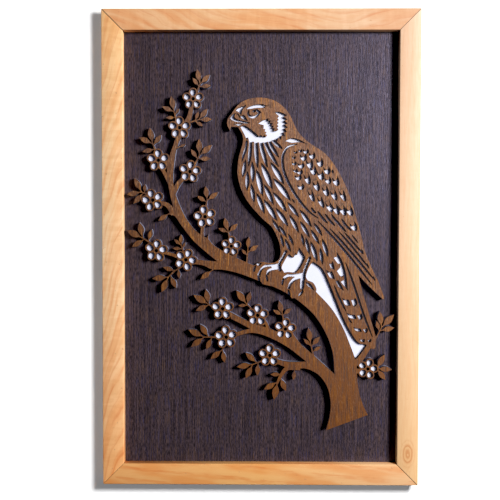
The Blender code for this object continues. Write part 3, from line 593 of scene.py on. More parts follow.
def spot(centre, height):
    """A feather tip: a cup with two horns and a tongue between them, slanted low on the wing."""
    height += SPOT_MARGIN
    width = min(SPOT_WIDTH_SHARE * height, WIDEST_SPOT - SLIMMING * max(0, height - SLIM_FROM))
    lean = min(MOST_LEAN, SPOT_LEAN + LEAN_PER_STEP * max(0, SHOULDER_HEIGHT - centre[1]))
    up = Vector(polar((0, 0), height, lean + 90))
    across = Vector(polar((0, 0), width, lean))
    return placed(outline(*SPOT_DRAWING), centre, across, up)


LONG_SLITS = (
    # Smooth lines of the wing's edge, the flight feathers and the tail, with their width.
    ([(34.5, 98.8), (26, 96.3), (21, 88), (21.3, 76), (26.5, 62),
      (36, 46.5), (46, 35), (54.5, 29)], 2.6),
    ([(54, 26.5), (68, 11.5), (84, -7), (105.5, -33.8)], 2.3),
    ([(65.5, 19.3), (82, 1), (108, -29.5)], 2.2),
    ([(73.7, 16.6), (87, 1.5), (102.4, -18.0)], 1.9),
    ([(79, 15.7), (88, 5.5), (97, -5)], 1.9),
    ([(85.7, 14), (92.7, 5)], 1.6),
    ([(80.3, -12.8), (88, -33), (97, -60), (106.2, -83.5)], 2.1),
    ([(69.8, -34.5), (74.5, -46), (81, -59)], 1.9),
    ([(83.2, -65), (84.6, -67.6), (86.8, -70.3)], 1.4),
    ([(67.3, 74.8), (68.2, 71.2)], 2.2),
    ([(29.5, 47.5), (32.2, 43.3)], 1.5),
    ([(106.4, -25.6), (108.4, -30.4)], 1.4),
    ([(100.2, -13.2), (102.6, -18.6)], 1.5),
    ([(95.2, 0), (97.2, -5)], 1.6),
)
SHORT_FEATHERS = ((50, 36.5), (58.5, 30), (65.5, 27.5), (71.5, 27), (76, 22), (81, 22.8))
SHORT_FEATHER_LENGTHS = (7.0, 15.0)
SHORT_FEATHER_WIDTH = 2.2
SHORT_FEATHER_SAG = 0.5
SHORT_FEATHER_HEADING = 130


def wing_cuts():
    """The spots, the long slits and the short feathers of the wing and the tail."""
    cuts = [spot(*row) for row in WING_SPOTS]
    cuts += [slit(points, width) for points, width in LONG_SLITS]
    short, long = SHORT_FEATHER_LENGTHS
    for index, middle in enumerate(SHORT_FEATHERS):
        half = (short if index == 0 else long) / 2
        top = polar(middle, half, SHORT_FEATHER_HEADING)
        sag = polar(middle, SHORT_FEATHER_SAG, SHORT_FEATHER_HEADING + 90)
        bottom = polar(middle, half, SHORT_FEATHER_HEADING + 180)
        cuts.append(slit([top, sag, bottom], SHORT_FEATHER_WIDTH))
    return cuts


TAIL_MARKS = (
    # The bars across the tail and the marks at its root: five corners each, clockwise.
    ((77.3, -46.2), (80.3, -48.3), (83.3, -47.8), (85.4, -53.8), (80.4, -52.8)),
    ((85.8, -47.8), (88, -48.4), (89.8, -46.4), (91.8, -52), (88.6, -54.8)),
    ((81.2, -60.5), (86, -62.4), (89.3, -62.4), (91.2, -66.6), (84.6, -65.2)),
    ((91.5, -62.6), (93.5, -63.2), (95.5, -61), (96.9, -65.6), (94.3, -67.3)),
    ((88, -74), (91.7, -75.4), (94.6, -75.2), (95.9, -78.7), (90.6, -77.5)),
    ((97.2, -76.1), (99.2, -76.4), (100.8, -74.5), (101.7, -78), (100, -79.9)),
    ((94.2, -85.7), (96.6, -86.2), (98.8, -85.2), (98.5, -88.7), (95.8, -87.8)),
    ((101.8, -86.6), (103.3, -86.3), (104.9, -85), (104.7, -88.4), (102.9, -88.4)),
    ((65, -13.6), (67, -14), (67.8, -11.2), (70.2, -19.7), (66.6, -18)),
    ((62, -19.8), (65.8, -22.2), (67.4, -20.8), (70.5, -28.9), (65.6, -26.7)),
    ((70.9, -29.9), (72.3, -30.4), (73.2, -29), (79, -39.6), (74.2, -36)),
)
TAIL_MARK_BULGE = 0.5


def tail_mark(tip, notch, tooth, end, heel):
    """A mark with a pointed tip, a tooth past a notch, and a long curved side."""
    middle = between(tooth, end, 0.5)
    return outline(tip, [notch], [tooth], [(middle[0] + TAIL_MARK_BULGE, middle[1]), end], [heel, tip])


def tail_cuts():
    """The shoulder's crescent, the ragged patch under the tail, and the tail's marks."""
    shoulder = outline((23, 101.7), [(29.5, 104.4), (36.5, 102.8), (43.3, 99)],
                       [(36, 100.6), (29, 100.2), (23, 101.7)])
    patch = outline(
        (72.3, -3),
        [(77.5, -12), (81, -24), (82.7, -39.5)],
        [(76, -31)], [(79.2, -29.5)], [(78.8, -25)],
        [(76.5, -26.5), (72.3, -21)],
        [(75.6, -17.5)], [(75.8, -13.6)],
        [(73.3, -13.8), (69.3, -8.4)],
        [(72.3, -7)], [(72.3, -3)])
    return [shoulder, patch] + [tail_mark(*row) for row in TAIL_MARKS]


CLAW_SLITS = (
    # The claws, with their width.
    ([(-2.3, -25.3), (-1.4, -29), (-0.6, -32.6)], 2.1),
    ([(5.4, -24.8), (6.2, -28), (6.8, -31)], 2.1),
    ([(-4.5, -15.6), (-5.6, -18.5), (-6.2, -22)], 1.9),
    ([(22, -27.8), (21, -31), (20.6, -34.6)], 2.1),
    ([(26.4, -38.6), (27, -42), (28.2, -44.8)], 2.2),
    ([(40.4, -39), (38.8, -42), (36, -44.6)], 2.2),
    ([(39.9, -26), (39.7, -32), (39.3, -39.2)], 4.0),
)
LEGS = (
    # The backs of the legs, with their width.
    ([(24.8, -1), (21, -8.2), (18, -14), (18.8, -21.8)], 3.0),
    ([(47.2, -7), (44, -15), (41.5, -22), (41.2, -30)], 3.2),
)
LEG_SCALES = 8
SCALE_SHARES = (1, 0.66)


def leg(points, width):
    """The scaly back of a leg: a slot whose edges swell and shrink evenly."""
    swells = [width * SCALE_SHARES[index % 2] for index in range(2 * LEG_SCALES - 1)]
    return ribbon(curve(points, LEG_STEP), [0] + swells + [0])


def toes():
    """The light tops of the toes, which fork from the backs of the legs."""
    left_long = outline(
        (17.6, -13.8),
        [(10, -14.7), (4.6, -15.1), (0.5, -18.2), (-2, -22.4), (-3.3, -25)],
        [(0.3, -26.3)],
        saw([(0.3, -26.3), (0.7, -22.8), (2.7, -19.4), (5.8, -17.4), (10.5, -17.0)], 7, 0.6),
        [(10.5, -18.3)],
        [(8.2, -19), (6.2, -20.8), (5.1, -24.7)],
        [(7.7, -25)],
        saw([(7.7, -25), (8.5, -22.6), (10.6, -20.7), (17.8, -19.6)], 5, 0.5),
        [(17.6, -13.8)])
    right_pair = outline(
        (40.4, -22.6),
        [(33, -23.7), (26.4, -23.6), (23.6, -25.2), (21.3, -27)],
        [(23.9, -29.2)],
        saw([(23.9, -29.2), (26, -26.8), (29.4, -26.5), (32.6, -26.8)], 5, 0.5),
        [(30.4, -28.2), (27.3, -32.2), (25.5, -37.4)],
        [(28.6, -38.7)],
        saw([(28.6, -38.7), (28.8, -35.4), (31.7, -31.5), (35.5, -29), (40.4, -28)], 8, 0.6),
        [(40.4, -22.6)])
    hind_toe = outline(
        (-4.1, -14.5),
        [(-1.5, -13.2), (1.3, -13.5)],
        [(-0.5, -15.8), (-2.6, -15.9), (-4.1, -14.5)])
    outer_toe = outline(
        (42.7, -31.1),
        [(47.4, -33.2), (49.8, -36.4), (51, -39.6)],
        [(47.6, -37.2), (44.2, -34.3), (42.7, -31.1)])
    return [left_long, right_pair, hind_toe, outer_toe]


# ---------------------------------------------------------------- merging flat shapes
def net(shapes, loose_points=()):
    """A net of triangles whose edges follow every outline.

    Returns its corners, its triangles, the corner of each point, and for each triangle the
    outlines around it, as bits in the outlines' order. A step across an edge turns the bits of
    the outlines that run along it.
    """
    points, edges, owners = [], [], []
    for number, shape in enumerate(shapes):
        first = len(points)
        points += [Vector(point) for point in shape]
        edges += [(first + i, first + (i + 1) % len(shape)) for i in range(len(shape))]
        owners += [1 << number] * len(shape)
    points += [Vector(point) for point in loose_points]
    corners, lines, triangles, sources, line_sources = delaunay_2d_cdt(
        points, edges, [], 0, MERGE_DISTANCE)[:5]
    corner_of = {point: corner for corner, group in enumerate(sources) for point in group}
    turned_by = {}
    for line, group in zip(lines, line_sources):
        bits = 0
        for edge in group:
            bits ^= owners[edge]
        turned_by[frozenset(line)] = bits
    beside = {}
    for number, triangle in enumerate(triangles):
        for line in sides_of(triangle):
            beside.setdefault(line, []).append(number)
    around = [None] * len(triangles)
    waiting = []
    for line, group in beside.items():
        if len(group) == 1 and around[group[0]] is None:
            around[group[0]] = turned_by[line]
            waiting.append(group[0])
    while waiting:
        number = waiting.pop()
        for line in sides_of(triangles[number]):
            for other in beside[line]:
                if around[other] is None:
                    around[other] = around[number] ^ turned_by[line]
                    waiting.append(other)
    return corners, triangles, corner_of, around


def round_pairs(corners):
    """Each corner of a closed outline with the next one, and the last with the first."""
    return zip(corners, corners[1:] + corners[:1])


def sides_of(triangle):
    """A triangle's sides, as pairs of corners in no order."""
    return [frozenset(pair) for pair in round_pairs(triangle)]


def merged(solids, openings):
    """The boundary loops of all solids joined, less the openings."""
    corners, triangles, _, around = net(solids + openings)
    all_solids = (1 << len(solids)) - 1
    rim = set()
    for triangle, bits in zip(triangles, around):
        if bits == 0 or bits > all_solids:
            continue
        for a, b in round_pairs(triangle):
            if (b, a) in rim:
                rim.remove((b, a))
            else:
                rim.add((a, b))
    loops = [simplified([corners[i] for i in loop]) for loop in loops_of(rim)]
    return [divided(loop) for loop in loops if area(loop) > SMALLEST_OPENING]


def area(loop):
    """The area inside a closed outline."""
    return abs(sum(a.cross(b) for a, b in round_pairs(loop))) / 2


def loops_of(rim):
    """Chains directed edges into closed loops."""
    after = {}
    for a, b in sorted(rim):
        after.setdefault(a, []).append(b)
    loops = []
    while after:
        start = min(after)
        loop, here = [], start
        while here in after:
            loop.append(here)
            step = after[here].pop()
            if not after[here]:
                del after[here]
            here = step
        loops.append(loop)
    return loops


def simplified(loop):
    """The loop without the points that hardly leave the edge past them."""
    start = max(range(len(loop)), key=lambda index: (loop[index] - loop[0]).length)
    ring = loop[start:] + loop[:start + 1]
    middle = max(range(len(ring)), key=lambda index: (ring[index] - ring[0]).length)
    return reduced(ring[:middle + 1])[:-1] + reduced(ring[middle:])[:-1]


def reduced(path):
    """An open path's two ends, and the points between them that leave the edge by too much."""
    if len(path) < 3:
        return path
    aways = [away(point, path[0], path[-1]) for point in path[1:-1]]
    farthest = aways.index(max(aways)) + 1
    if aways[farthest - 1] <= OUTLINE_TOLERANCE:
        return [path[0], path[-1]]
    return reduced(path[:farthest + 1])[:-1] + reduced(path[farthest:])


def away(point, start, end):
    """The distance of a point from the edge between two others."""
    run = end - start
    share = max(0, min(1, (point - start).dot(run) / run.length_squared))
    return (point - start - run * share).length


def divided(loop):
    """The loop with its long edges cut into even steps."""
    path = []
    for a, b in round_pairs(loop):
        cuts = max(1, math.ceil((b - a).length / LONGEST_EDGE))
        path += [a.lerp(b, cut / cuts) for cut in range(cuts)]
    return path


# ---------------------------------------------------------------- cut sheets
# The rim has no inner point where its edge turns back sharply or where another edge is near.
SHARPEST_RIM_TURN = 0.5
RIM_CLEARANCE = 0.85
SHARP_ANGLE = math.radians(40)


def picture_solids():
    """The shapes whose union is the picture's outline."""
    shapes = [bough(), falcon_body()] + [ribbon(*row) for row in TWIGS]
    for row in SPRIGS:
        shapes += sprig(*row)
    for row in BLOSSOMS:
        shapes += blossom_body(*row)
    return shapes


def picture_openings():
    """The shapes cut through the picture."""
    shapes = [collar(), brow(), leg_window()] + beak_cuts() + eye_cuts() + feather_slots()
    shapes += wing_cuts() + tail_cuts() + toes()
    shapes += [slit(*row) for row in CLAW_SLITS] + [leg(*row) for row in LEGS]
    for row in BLOSSOMS:
        shapes += blossom_openings(*row)
    return shapes


def rim_points(loops):
    """Points just inside the material along every loop; the loops turn round it leftwards."""
    rim = kdtree.KDTree(sum(len(loop) for loop in loops))
    index = 0
    for loop in loops:
        for point in loop:
            rim.insert((*point, 0), index)
            index += 1
    rim.balance()
    points = []
    for loop in loops:
        for before, point, after in zip(loop[-1:] + loop[:-1], loop, loop[1:] + loop[:1]):
            run = (point - before).normalized() + (after - point).normalized()
            if run.length < SHARPEST_RIM_TURN:
                continue
            inner = point + Vector((-run.y, run.x)).normalized() * RIM_WIDTH
            if rim.find((*inner, 0))[2] > RIM_WIDTH * RIM_CLEARANCE:
                points.append(inner)
    return points


def add_cap(body, loops, loose_points, depth, rim, flip):
    """Fills the loops at a depth, and returns the new corner of each of their points, in order."""
    corners, triangles, corner_of, around = net(loops, loose_points)
    spots = [body.verts.new((u * MM + CENTRE.x, depth, v * MM + CENTRE.z)) for u, v in corners]
    edge = [spots[corner_of[index]] for index in range(sum(len(loop) for loop in loops))]
    for vertex in edge:
        vertex[rim] = 1
    for triangle, bits in zip(triangles, around):
        if bits.bit_count() % 2:
            face_corners = [spots[i] for i in triangle]
            body.faces.new(face_corners[::-1] if flip else face_corners)
    return edge


def linked_object(name, mesh):
    """A new object in the scene with a mesh."""
    item = bpy.data.objects.new(name, mesh)
    bpy.context.scene.collection.objects.link(item)
    return item


def add_piece(body, node, materials, smooth=True):
    """Makes a finished body the piece that stands for a node, and ties it to the frame."""
    name = "fine_" + node
    mesh = bpy.data.meshes.new(name)
    body.to_mesh(mesh)
    body.free()
    if smooth:
        mesh.shade_smooth()
        mesh.set_sharp_from_angle(angle=SHARP_ANGLE)
    for material in materials:
        mesh.materials.append(material)
    piece = linked_object(name, mesh)
    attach(piece, "root")
    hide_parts(node)
    return piece


def cut_sheet(node, loops, front, back, rim_shown, materials):
    """A flat sheet of the loops' outline between two depths, its cut edges in their own material."""
    body = bmesh.new()
    rim = body.verts.layers.float.new("rim")
    near = add_cap(body, loops, rim_points(loops) if rim_shown else (), front, rim, False)
    far = add_cap(body, loops, (), back, rim, True)
    first = 0
    for loop in loops:
        for index in range(len(loop)):
            a = first + index
            b = first + (index + 1) % len(loop)
            wall = body.faces.new((near[b], near[a], far[a], far[b]))
            wall.material_index = 1
        first += len(loop)
    for vertex in [v for v in body.verts if not v.link_faces]:
        body.verts.remove(vertex)
    return add_piece(body, node, materials)


# ---------------------------------------------------------------- frame and panel
# The frame's small sizes, in metres. Each corner's mitre stands open by its own gap.
ARRIS = 0.0006
ARRIS_CUTS = 3
MITRE_GAPS = {(-1, 1): 0.00045, (1, 1): 0.00025, (1, -1): 0.0004, (-1, -1): 0.0002}
GLUE_INSET = 0.0007
GLUE_GAP = 0.00003
BOARD_PLAY = 0.0003
BOARD_EASE = 0.0003


def rail_profile(depth, face, lip, lip_back):
    """A rail's section as (inwards, forwards) points, its two front arrises rounded."""
    profile = [(0, 0), (face - lip, 0), (face - lip, lip_back), (face, lip_back)]
    for centre, start in (((face - ARRIS, depth - ARRIS), 0), ((ARRIS, depth - ARRIS), 90)):
        for cut in range(ARRIS_CUTS + 1):
            profile.append(polar(centre, ARRIS, start + 90 * cut / ARRIS_CUTS))
    return profile


def glue_and_shade_slab(body, end_face, along, gap):
    """A dark slab set back in the mitre, almost up to the next rail's: dried glue, and painted shade
    for the depth of the open joint.
    """
    rims = bmesh.ops.inset_region(body, faces=[end_face], thickness=GLUE_INSET)["faces"]
    bmesh.ops.translate(body, vec=along * (gap - GLUE_GAP), verts=end_face.verts)
    for face in rims + [end_face]:
        face.material_index = 1


def rail(node, inward, materials):
    """A rebated rail with mitred ends in its node's box; inward points to the picture's middle."""
    low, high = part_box(node)
    inward = Vector(inward)
    along = Vector((abs(inward.z), 0, abs(inward.x)))
    face = abs((high - low).dot(inward))
    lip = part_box("frame_left_rail")[1].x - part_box("back_panel")[0].x + BOARD_PLAY
    profile = rail_profile(high.y - low.y, face, lip, high.y - PANEL_FACE + BOARD_PLAY)
    outer_edge = low if max(inward) > 0 else high
    middle = Vector((CENTRE.x, high.y, CENTRE.z))
    outer = middle + inward * (outer_edge - middle).dot(inward)
    half = (cad_high - cad_low).dot(along) / 2
    body = bmesh.new()
    ends = []
    caps = []
    for end in (-1, 1):
        corner = along * end - inward
        gap = MITRE_GAPS[round(corner.x), round(corner.z)]
        ring = []
        for inwards, forwards in profile:
            reach = half - inwards - gap
            ring.append(body.verts.new(
                outer + inward * inwards - Vector((0, forwards, 0)) + along * end * reach))
        ends.append(ring)
        caps.append((body.faces.new(ring), along * end, gap))
    for index in range(len(profile)):
        following = (index + 1) % len(profile)
        body.faces.new((ends[0][index], ends[0][following], ends[1][following], ends[1][index]))
    bmesh.ops.recalc_face_normals(body, faces=body.faces)
    for cap in caps:
        glue_and_shade_slab(body, *cap)
    return add_piece(body, node, materials)


def board(materials):
    """The thin board in the rebate: veneer in front, plain board at the back and the edges."""
    low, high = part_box("back_panel")
    body = bmesh.new()
    bmesh.ops.create_cube(body, size=1)
    bmesh.ops.scale(body, vec=high - low, verts=body.verts)
    bmesh.ops.translate(body, vec=(high + low) / 2, verts=body.verts)
    bmesh.ops.bevel(body, geom=body.edges, offset=BOARD_EASE, segments=2, affect="EDGES", profile=0.5)
    for face in body.faces:
        face.material_index = 0 if face.normal.y < -0.5 else 1
    return add_piece(body, "back_panel", materials, smooth=False)


# ---------------------------------------------------------------- materials
class Graph:
    """A material's node tree, with short ways to add the nodes that the finishes use."""

    def __init__(self, name):
        self.material = bpy.data.materials.new(name)
        self.material.use_nodes = True
        self.tree = self.material.node_tree
        self.shader = self.tree.nodes["Principled BSDF"]
        self.position = self.add("ShaderNodeTexCoord").outputs["Object"]
        self.places = self.add("ShaderNodeSeparateXYZ", self.position).outputs

    def feed(self, socket, value):
        """Links an output to a socket, or sets the socket's own value."""
        if isinstance(value, bpy.types.NodeSocket):
            self.tree.links.new(value, socket)
        else:
            socket.default_value = value

    def add(self, kind, *values, **settings):
        """A new node with its settings and the values of its first sockets."""
        node = self.tree.nodes.new(kind)
        for name, value in settings.items():
            setattr(node, name, value)
        for socket, value in zip(node.inputs, values):
            self.feed(socket, value)
        return node

    def arithmetic(self, operation, *values):
        """A Math node's result."""
        return self.add("ShaderNodeMath", *values, operation=operation).outputs[0]

    def times(self, first, second, plus=None):
        """Two values multiplied, and a third added if there is one."""
        if plus is None:
            return self.arithmetic("MULTIPLY", first, second)
        return self.arithmetic("MULTIPLY_ADD", first, second, plus)

    def noise(self, vector, detail, roughness, distortion=0.0):
        """Smooth noise from 0 to 1, with features about one unit of the vector across."""
        node = self.add("ShaderNodeTexNoise", vector)
        node.inputs["Scale"].default_value = 1
        node.inputs["Detail"].default_value = detail
        node.inputs["Roughness"].default_value = roughness
        node.inputs["Distortion"].default_value = distortion
        return node.outputs["Fac"]

    def grain(self, scale, offset, *character):
        """Noise with so many features a metre along each axis, its field moved by an offset."""
        node = self.add("ShaderNodeMapping", self.position, offset)
        node.inputs["Scale"].default_value = scale
        return self.noise(node.outputs[0], *character)

    def steps(self, value, low, high, bottom=0.0, top=1.0):
        """A value brought from one range to another, smoothly and clamped."""
        return self.add("ShaderNodeMapRange", value, low, high, bottom, top,
                        interpolation_type="SMOOTHSTEP").outputs[0]

    def share_along(self, axis, box):
        """How far along a box the position is, from 0 to 1."""
        place = self.places[axis]
        return self.add("ShaderNodeMapRange", place, box[0][axis], box[1][axis]).outputs[0]

    def bell(self, value, middle, reach):
        """A smooth bump of height 1 round the middle value."""
        away = self.times(value, 1 / reach, plus=-middle / reach)
        return self.arithmetic("POWER", math.exp(-1), self.times(away, away))

    def ramp(self, value, colours):
        """Colours spread evenly over the values from 0 to 1."""
        node = self.add("ShaderNodeValToRGB", value)
        stops = node.color_ramp.elements
        for index, colour in enumerate(colours):
            place = index / (len(colours) - 1)
            stop = stops[0] if index == 0 else stops[-1] if place == 1 else stops.new(place)
            stop.color = (*colour, 1)
        return node.outputs["Color"]

    def mixed(self, share, first, second, blend="MIX"):
        """Two colours mixed by a share."""
        node = self.add("ShaderNodeMix", share, data_type="RGBA", blend_type=blend)
        for socket, colour in ((node.inputs[6], first), (node.inputs[7], second)):
            self.feed(socket, colour if isinstance(colour, bpy.types.NodeSocket) else (*colour, 1))
        return node.outputs[2]

    def between_colours(self, value, low, high, first, second):
        """One colour where a value is low, and another where it is high."""
        return self.mixed(self.steps(value, low, high), first, second)

    def painted(self, colour, paint, value, low, high, share):
        """A colour with a share of paint over it where a value is at the high end."""
        return self.mixed(self.steps(value, low, high, 0, share), colour, paint)

    def stained(self, colour, stain, value, low, high, share):
        """A colour darkened by a share of a stain where a value is at the high end."""
        return self.mixed(self.steps(value, low, high, 0, share), colour, stain, "MULTIPLY")

    def bump(self, height, distance, strength):
        """Small relief under the shader."""
        node = self.add("ShaderNodeBump")
        self.feed(node.inputs["Height"], height)
        node.inputs["Distance"].default_value = distance
        node.inputs["Strength"].default_value = strength
        self.feed(self.shader.inputs["Normal"], node.outputs[0])

    def sheen(self, bend, tint):
        """How strongly the surface mirrors the light, by its refraction, and in what tint."""
        self.shader.inputs["IOR"].default_value = bend
        self.shader.inputs["Specular Tint"].default_value = tint

    def finish(self, colour, roughness, specular):
        """Sets the shader's colour, roughness and specular level."""
        self.feed(self.shader.inputs["Base Color"], colour)
        self.feed(self.shader.inputs["Roughness"], roughness)
        self.shader.inputs["Specular IOR Level"].default_value = specular
        return self.material


def along_axis(axis, across, along):
    """A scale for each axis: along for the grain's axis, and across for the others."""
    scale = [across, across, across]
    scale[axis] = along
    return scale


# Ring lines lie in millimetres inwards from a rail's outer edge; the tilt leans them in depth.
RAIL_FACE = 20
RING_TILT = 700
RING_DRIFT = 5
FINE_RING_SCALE = 3.1
KNOT_RINGS = 2.7
KNOT_WOBBLE = 0.5


def ring_count(graph, node, inward, axis, rings, bows, knots):
    """The count of year rings across a rail, how near a knot is, and the share along the rail."""
    low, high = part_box(node)
    share = graph.share_along(axis, (low, high))
    side = sum(inward)
    outer = low[2 - axis] if side > 0 else high[2 - axis]
    inwards = graph.times(graph.places[2 - axis], side / MM, plus=-side * outer / MM)
    gap, slope, bend, wander, seed = rings
    from_inside = graph.arithmetic("SUBTRACT", RAIL_FACE, inwards)
    ring = graph.times(share, slope, plus=inwards)
    ring = graph.times(graph.times(from_inside, from_inside), bend, plus=ring)
    ring = graph.times(graph.places[1], RING_TILT, plus=ring)
    sway = graph.grain(along_axis(axis, 34, 11), (seed, seed, seed), 2, 0.5)
    ring = graph.times(sway, wander, plus=ring)
    for middle, reach, push in bows:
        ring = graph.times(graph.bell(share, middle, reach), push, plus=ring)
    rounds = 0.0
    for middle, reach, push in knots:
        near = graph.times(graph.bell(share, middle[0], reach[0]),
                           graph.bell(inwards, middle[1], reach[1]))
        ring = graph.times(near, push, plus=ring)
        rounds = graph.arithmetic("ADD", rounds, near)
    return graph.arithmetic("DIVIDE", ring, gap), rounds, share


def knot_circles(graph, colour, rounds, seed):
    """Darker wobbling circles in warmer wood round each knot."""
    wobble = graph.times(graph.grain((260, 260, 260), (seed, 0, 0), 2, 0.5), KNOT_WOBBLE)
    turn = graph.arithmetic("FRACT", graph.times(rounds, KNOT_RINGS, plus=wobble))
    circle = graph.times(graph.steps(turn, 0.30, 0.80), graph.steps(turn, 1.0, 0.88))
    circle = graph.times(circle, graph.steps(rounds, 0.10, 0.45, 0, 0.60))
    colour = graph.stained(colour, (0.92, 0.76, 0.60), rounds, 0.2, 0.7, 0.45)
    return graph.mixed(circle, colour, (0.72, 0.46, 0.30), "MULTIPLY")


def rail_wood(node, inward, axis, tones, rings, bows, knots, strengths):
    """Pale oiled wood with ring lines along an axis; bows and knots push the lines aside; its tones
    along the rail hold painted light and shade as well as the wood's own tone.
    """
    graph = Graph(node + "_wood")
    turns, rounds, share = ring_count(graph, node, inward, axis, rings, bows, knots)
    seed = rings[-1]
    drift = graph.times(share, RING_DRIFT)
    joined = graph.add("ShaderNodeCombineXYZ", turns, drift, seed).outputs[0]
    band = graph.noise(joined, 2, 0.5)
    fine = graph.add("ShaderNodeVectorMath", joined, operation="SCALE")
    fine.inputs["Scale"].default_value = FINE_RING_SCALE
    presence = graph.steps(graph.noise(fine.outputs[0], 2, 0.6), 0.4, 0.62, 0.1, 1)
    part = graph.arithmetic("FRACT", turns)
    line = graph.times(graph.steps(part, 0.35, 0.93), graph.steps(part, 1.0, 0.95))
    line = graph.times(line, presence)
    curl = graph.grain(along_axis(axis, 38, 150), (seed, 0, seed), 3, 0.6, 0.6)
    fibre = graph.grain(along_axis(axis, 900, 70), (seed, seed, 0), 3, 0.65)
    fleck = graph.grain(along_axis(axis, 420, 260), (0, seed, seed), 1, 0.5)
    bands, lines, curls = strengths
    # The tones along the rail are partly the wood's own and partly painted light and shade.
    colour = graph.ramp(share, tones)
    colour = graph.stained(colour, (0.93, 0.72, 0.56), band, 0.40, 0.62, bands)
    colour = graph.mixed(graph.times(line, lines), colour, (0.86, 0.60, 0.47), "MULTIPLY")
    colour = graph.stained(colour, (0.90, 0.80, 0.70), curl, 0.38, 0.62, curls)
    colour = graph.stained(colour, (0.95, 0.87, 0.78), fibre, 0.38, 0.66, 0.45)
    if knots:
        colour = knot_circles(graph, colour, rounds, seed)
    colour = graph.painted(colour, (0.50, 0.24, 0.12), fleck, 0.74, 0.79, 0.6)
    graph.bump(graph.times(line, 0.5, plus=fibre), 0.00003, 0.6)
    return graph.finish(colour, graph.steps(fibre, 0.2, 0.8, 0.42, 0.56), 0.35)


def dark_veneer():
    """Dark stained veneer with dashes and streaks, some warm and some bluish, and a bluish sheen."""
    graph = Graph("dark_panel_veneer")
    dash = graph.grain((1500, 300, 260), (3.1, 0, 1.7), 2, 0.6)
    streak = graph.grain((1500, 300, 18), (9.4, 0, 5.3), 2, 0.6)
    fine = graph.times(graph.arithmetic("ADD", dash, streak), 0.5)
    hue = graph.grain((1300, 300, 60), (7.7, 0, 4.2), 2, 0.6)
    broad = graph.grain((260, 60, 14), (1.3, 0, 8.8), 3, 0.55)
    colour = graph.between_colours(fine, 0.435, 0.575, (0.014, 0.009, 0.010), (0.068, 0.044, 0.048))
    colour = graph.painted(colour, (0.110, 0.062, 0.034), hue, 0.54, 0.70, 0.7)
    colour = graph.painted(colour, (0.034, 0.032, 0.088), hue, 0.46, 0.30, 0.7)
    colour = graph.painted(colour, (0.014, 0.009, 0.011), broad, 0.42, 0.64, 0.30)
    graph.bump(graph.times(hue, 0.6, plus=fine), 0.0002, 1.0)
    graph.sheen(1.65, (0.66, 0.64, 0.96, 1))
    return graph.finish(colour, graph.steps(fine, 0.35, 0.65, 0.34, 0.50), 0.5)


BROWN_TONES = ((0.142, 0.043, 0.003), (0.181, 0.064, 0.016), (0.240, 0.112, 0.060))


def brown_veneer():
    """Brown veneer, golden below, paler above, with painted shade towards the left, finely lined, its
    rim scorched.
    """
    graph = Graph("brown_fretwork_veneer")
    line = graph.grain((700, 300, 60), (0.7, 0, 2.9), 3, 0.7)
    fleck = graph.grain((900, 300, 360), (5.2, 0, 6.4), 2, 0.65)
    streak = graph.grain((260, 60, 28), (2.2, 0, 0.6), 3, 0.6)
    height = graph.share_along(2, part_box("falcon_fretwork"))
    across = graph.share_along(0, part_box("falcon_fretwork"))
    lively = graph.steps(height, 0.1, 0.7, 0.35, 1)
    pale_line = graph.times(graph.steps(line, 0.46, 0.30, 0, 0.85), lively)
    dark_fleck = graph.times(graph.steps(fleck, 0.54, 0.68, 0, 0.75), lively)
    pale_fleck = graph.times(graph.steps(fleck, 0.44, 0.30, 0, 0.5), lively)
    rim = graph.add("ShaderNodeAttribute", attribute_name="rim").outputs["Fac"]
    uneven = graph.steps(graph.grain((500, 500, 500), (0, 0, 0), 2, 0.5), 0.3, 0.7, 0.4, 0.9)
    scorch = graph.times(graph.steps(rim, 0.25, 1.0), uneven)
    colour = graph.ramp(height, BROWN_TONES)
    # Painted shade: the veneer is darkened towards the left, as if the light from the right fell off
    # there.
    colour = graph.mixed(graph.steps(across, 0, 0.6, 0.4, 0), colour, (0.40, 0.45, 0.60), "MULTIPLY")
    colour = graph.stained(colour, (0.30, 0.23, 0.20), line, 0.48, 0.66, 0.8)
    colour = graph.mixed(pale_line, colour, (0.430, 0.185, 0.040))
    colour = graph.mixed(dark_fleck, colour, (0.050, 0.020, 0.010))
    colour = graph.mixed(pale_fleck, colour, (0.400, 0.240, 0.130))
    colour = graph.stained(colour, (0.50, 0.42, 0.38), streak, 0.46, 0.66, 0.3)
    colour = graph.mixed(scorch, colour, (0.030, 0.012, 0.006))
    graph.bump(graph.arithmetic("SUBTRACT", graph.times(fleck, 0.5), line), 0.0002, 1.0)
    graph.sheen(1.75, (1.0, 0.88, 0.84, 1))
    return graph.finish(colour, graph.steps(line, 0.35, 0.65, 0.36, 0.50), 0.5)


def two_toned(name, noise, spread, tones, relief, roughness, specular):
    """A plain rough finish: noise between two tones, and the same noise as its relief."""
    graph = Graph(name)
    mark = graph.grain(*noise)
    graph.bump(mark, *relief)
    return graph.finish(graph.between_colours(mark, *spread, *tones), roughness, specular)


def burnt_edge():
    """The brown sheet's cut edge: charred dark, with short marks through its thickness."""
    noise = ((900, 120, 900), (0, 0, 0), 3, 0.6)
    tones = ((0.012, 0.006, 0.004), (0.055, 0.026, 0.014))
    return two_toned("burnt_fretwork_edge", noise, (0.3, 0.7), tones, (0.00006, 0.6), 0.75, 0.25)


def white_edge():
    """The white sheet's cut edge, in bluish greys much darker than its face."""
    noise = ((700, 150, 700), (0, 0, 0), 3, 0.6)
    tones = ((0.27, 0.28, 0.35), (0.15, 0.15, 0.18))
    return two_toned("white_underlay_edge", noise, (0.3, 0.75), tones, (0.00004, 0.5), 0.6, 0.3)


def mitre_glue_and_shade():
    """Dark dried glue in a mitre, which also serves as painted shade deep in the open joint."""
    noise = ((900, 900, 900), (0, 0, 0), 2, 0.5)
    tones = ((0.030, 0.014, 0.008), (0.070, 0.032, 0.016))
    return two_toned("mitre_glue_and_shade", noise, (0.3, 0.7), tones, (0.00004, 0.5), 0.6, 0.3)


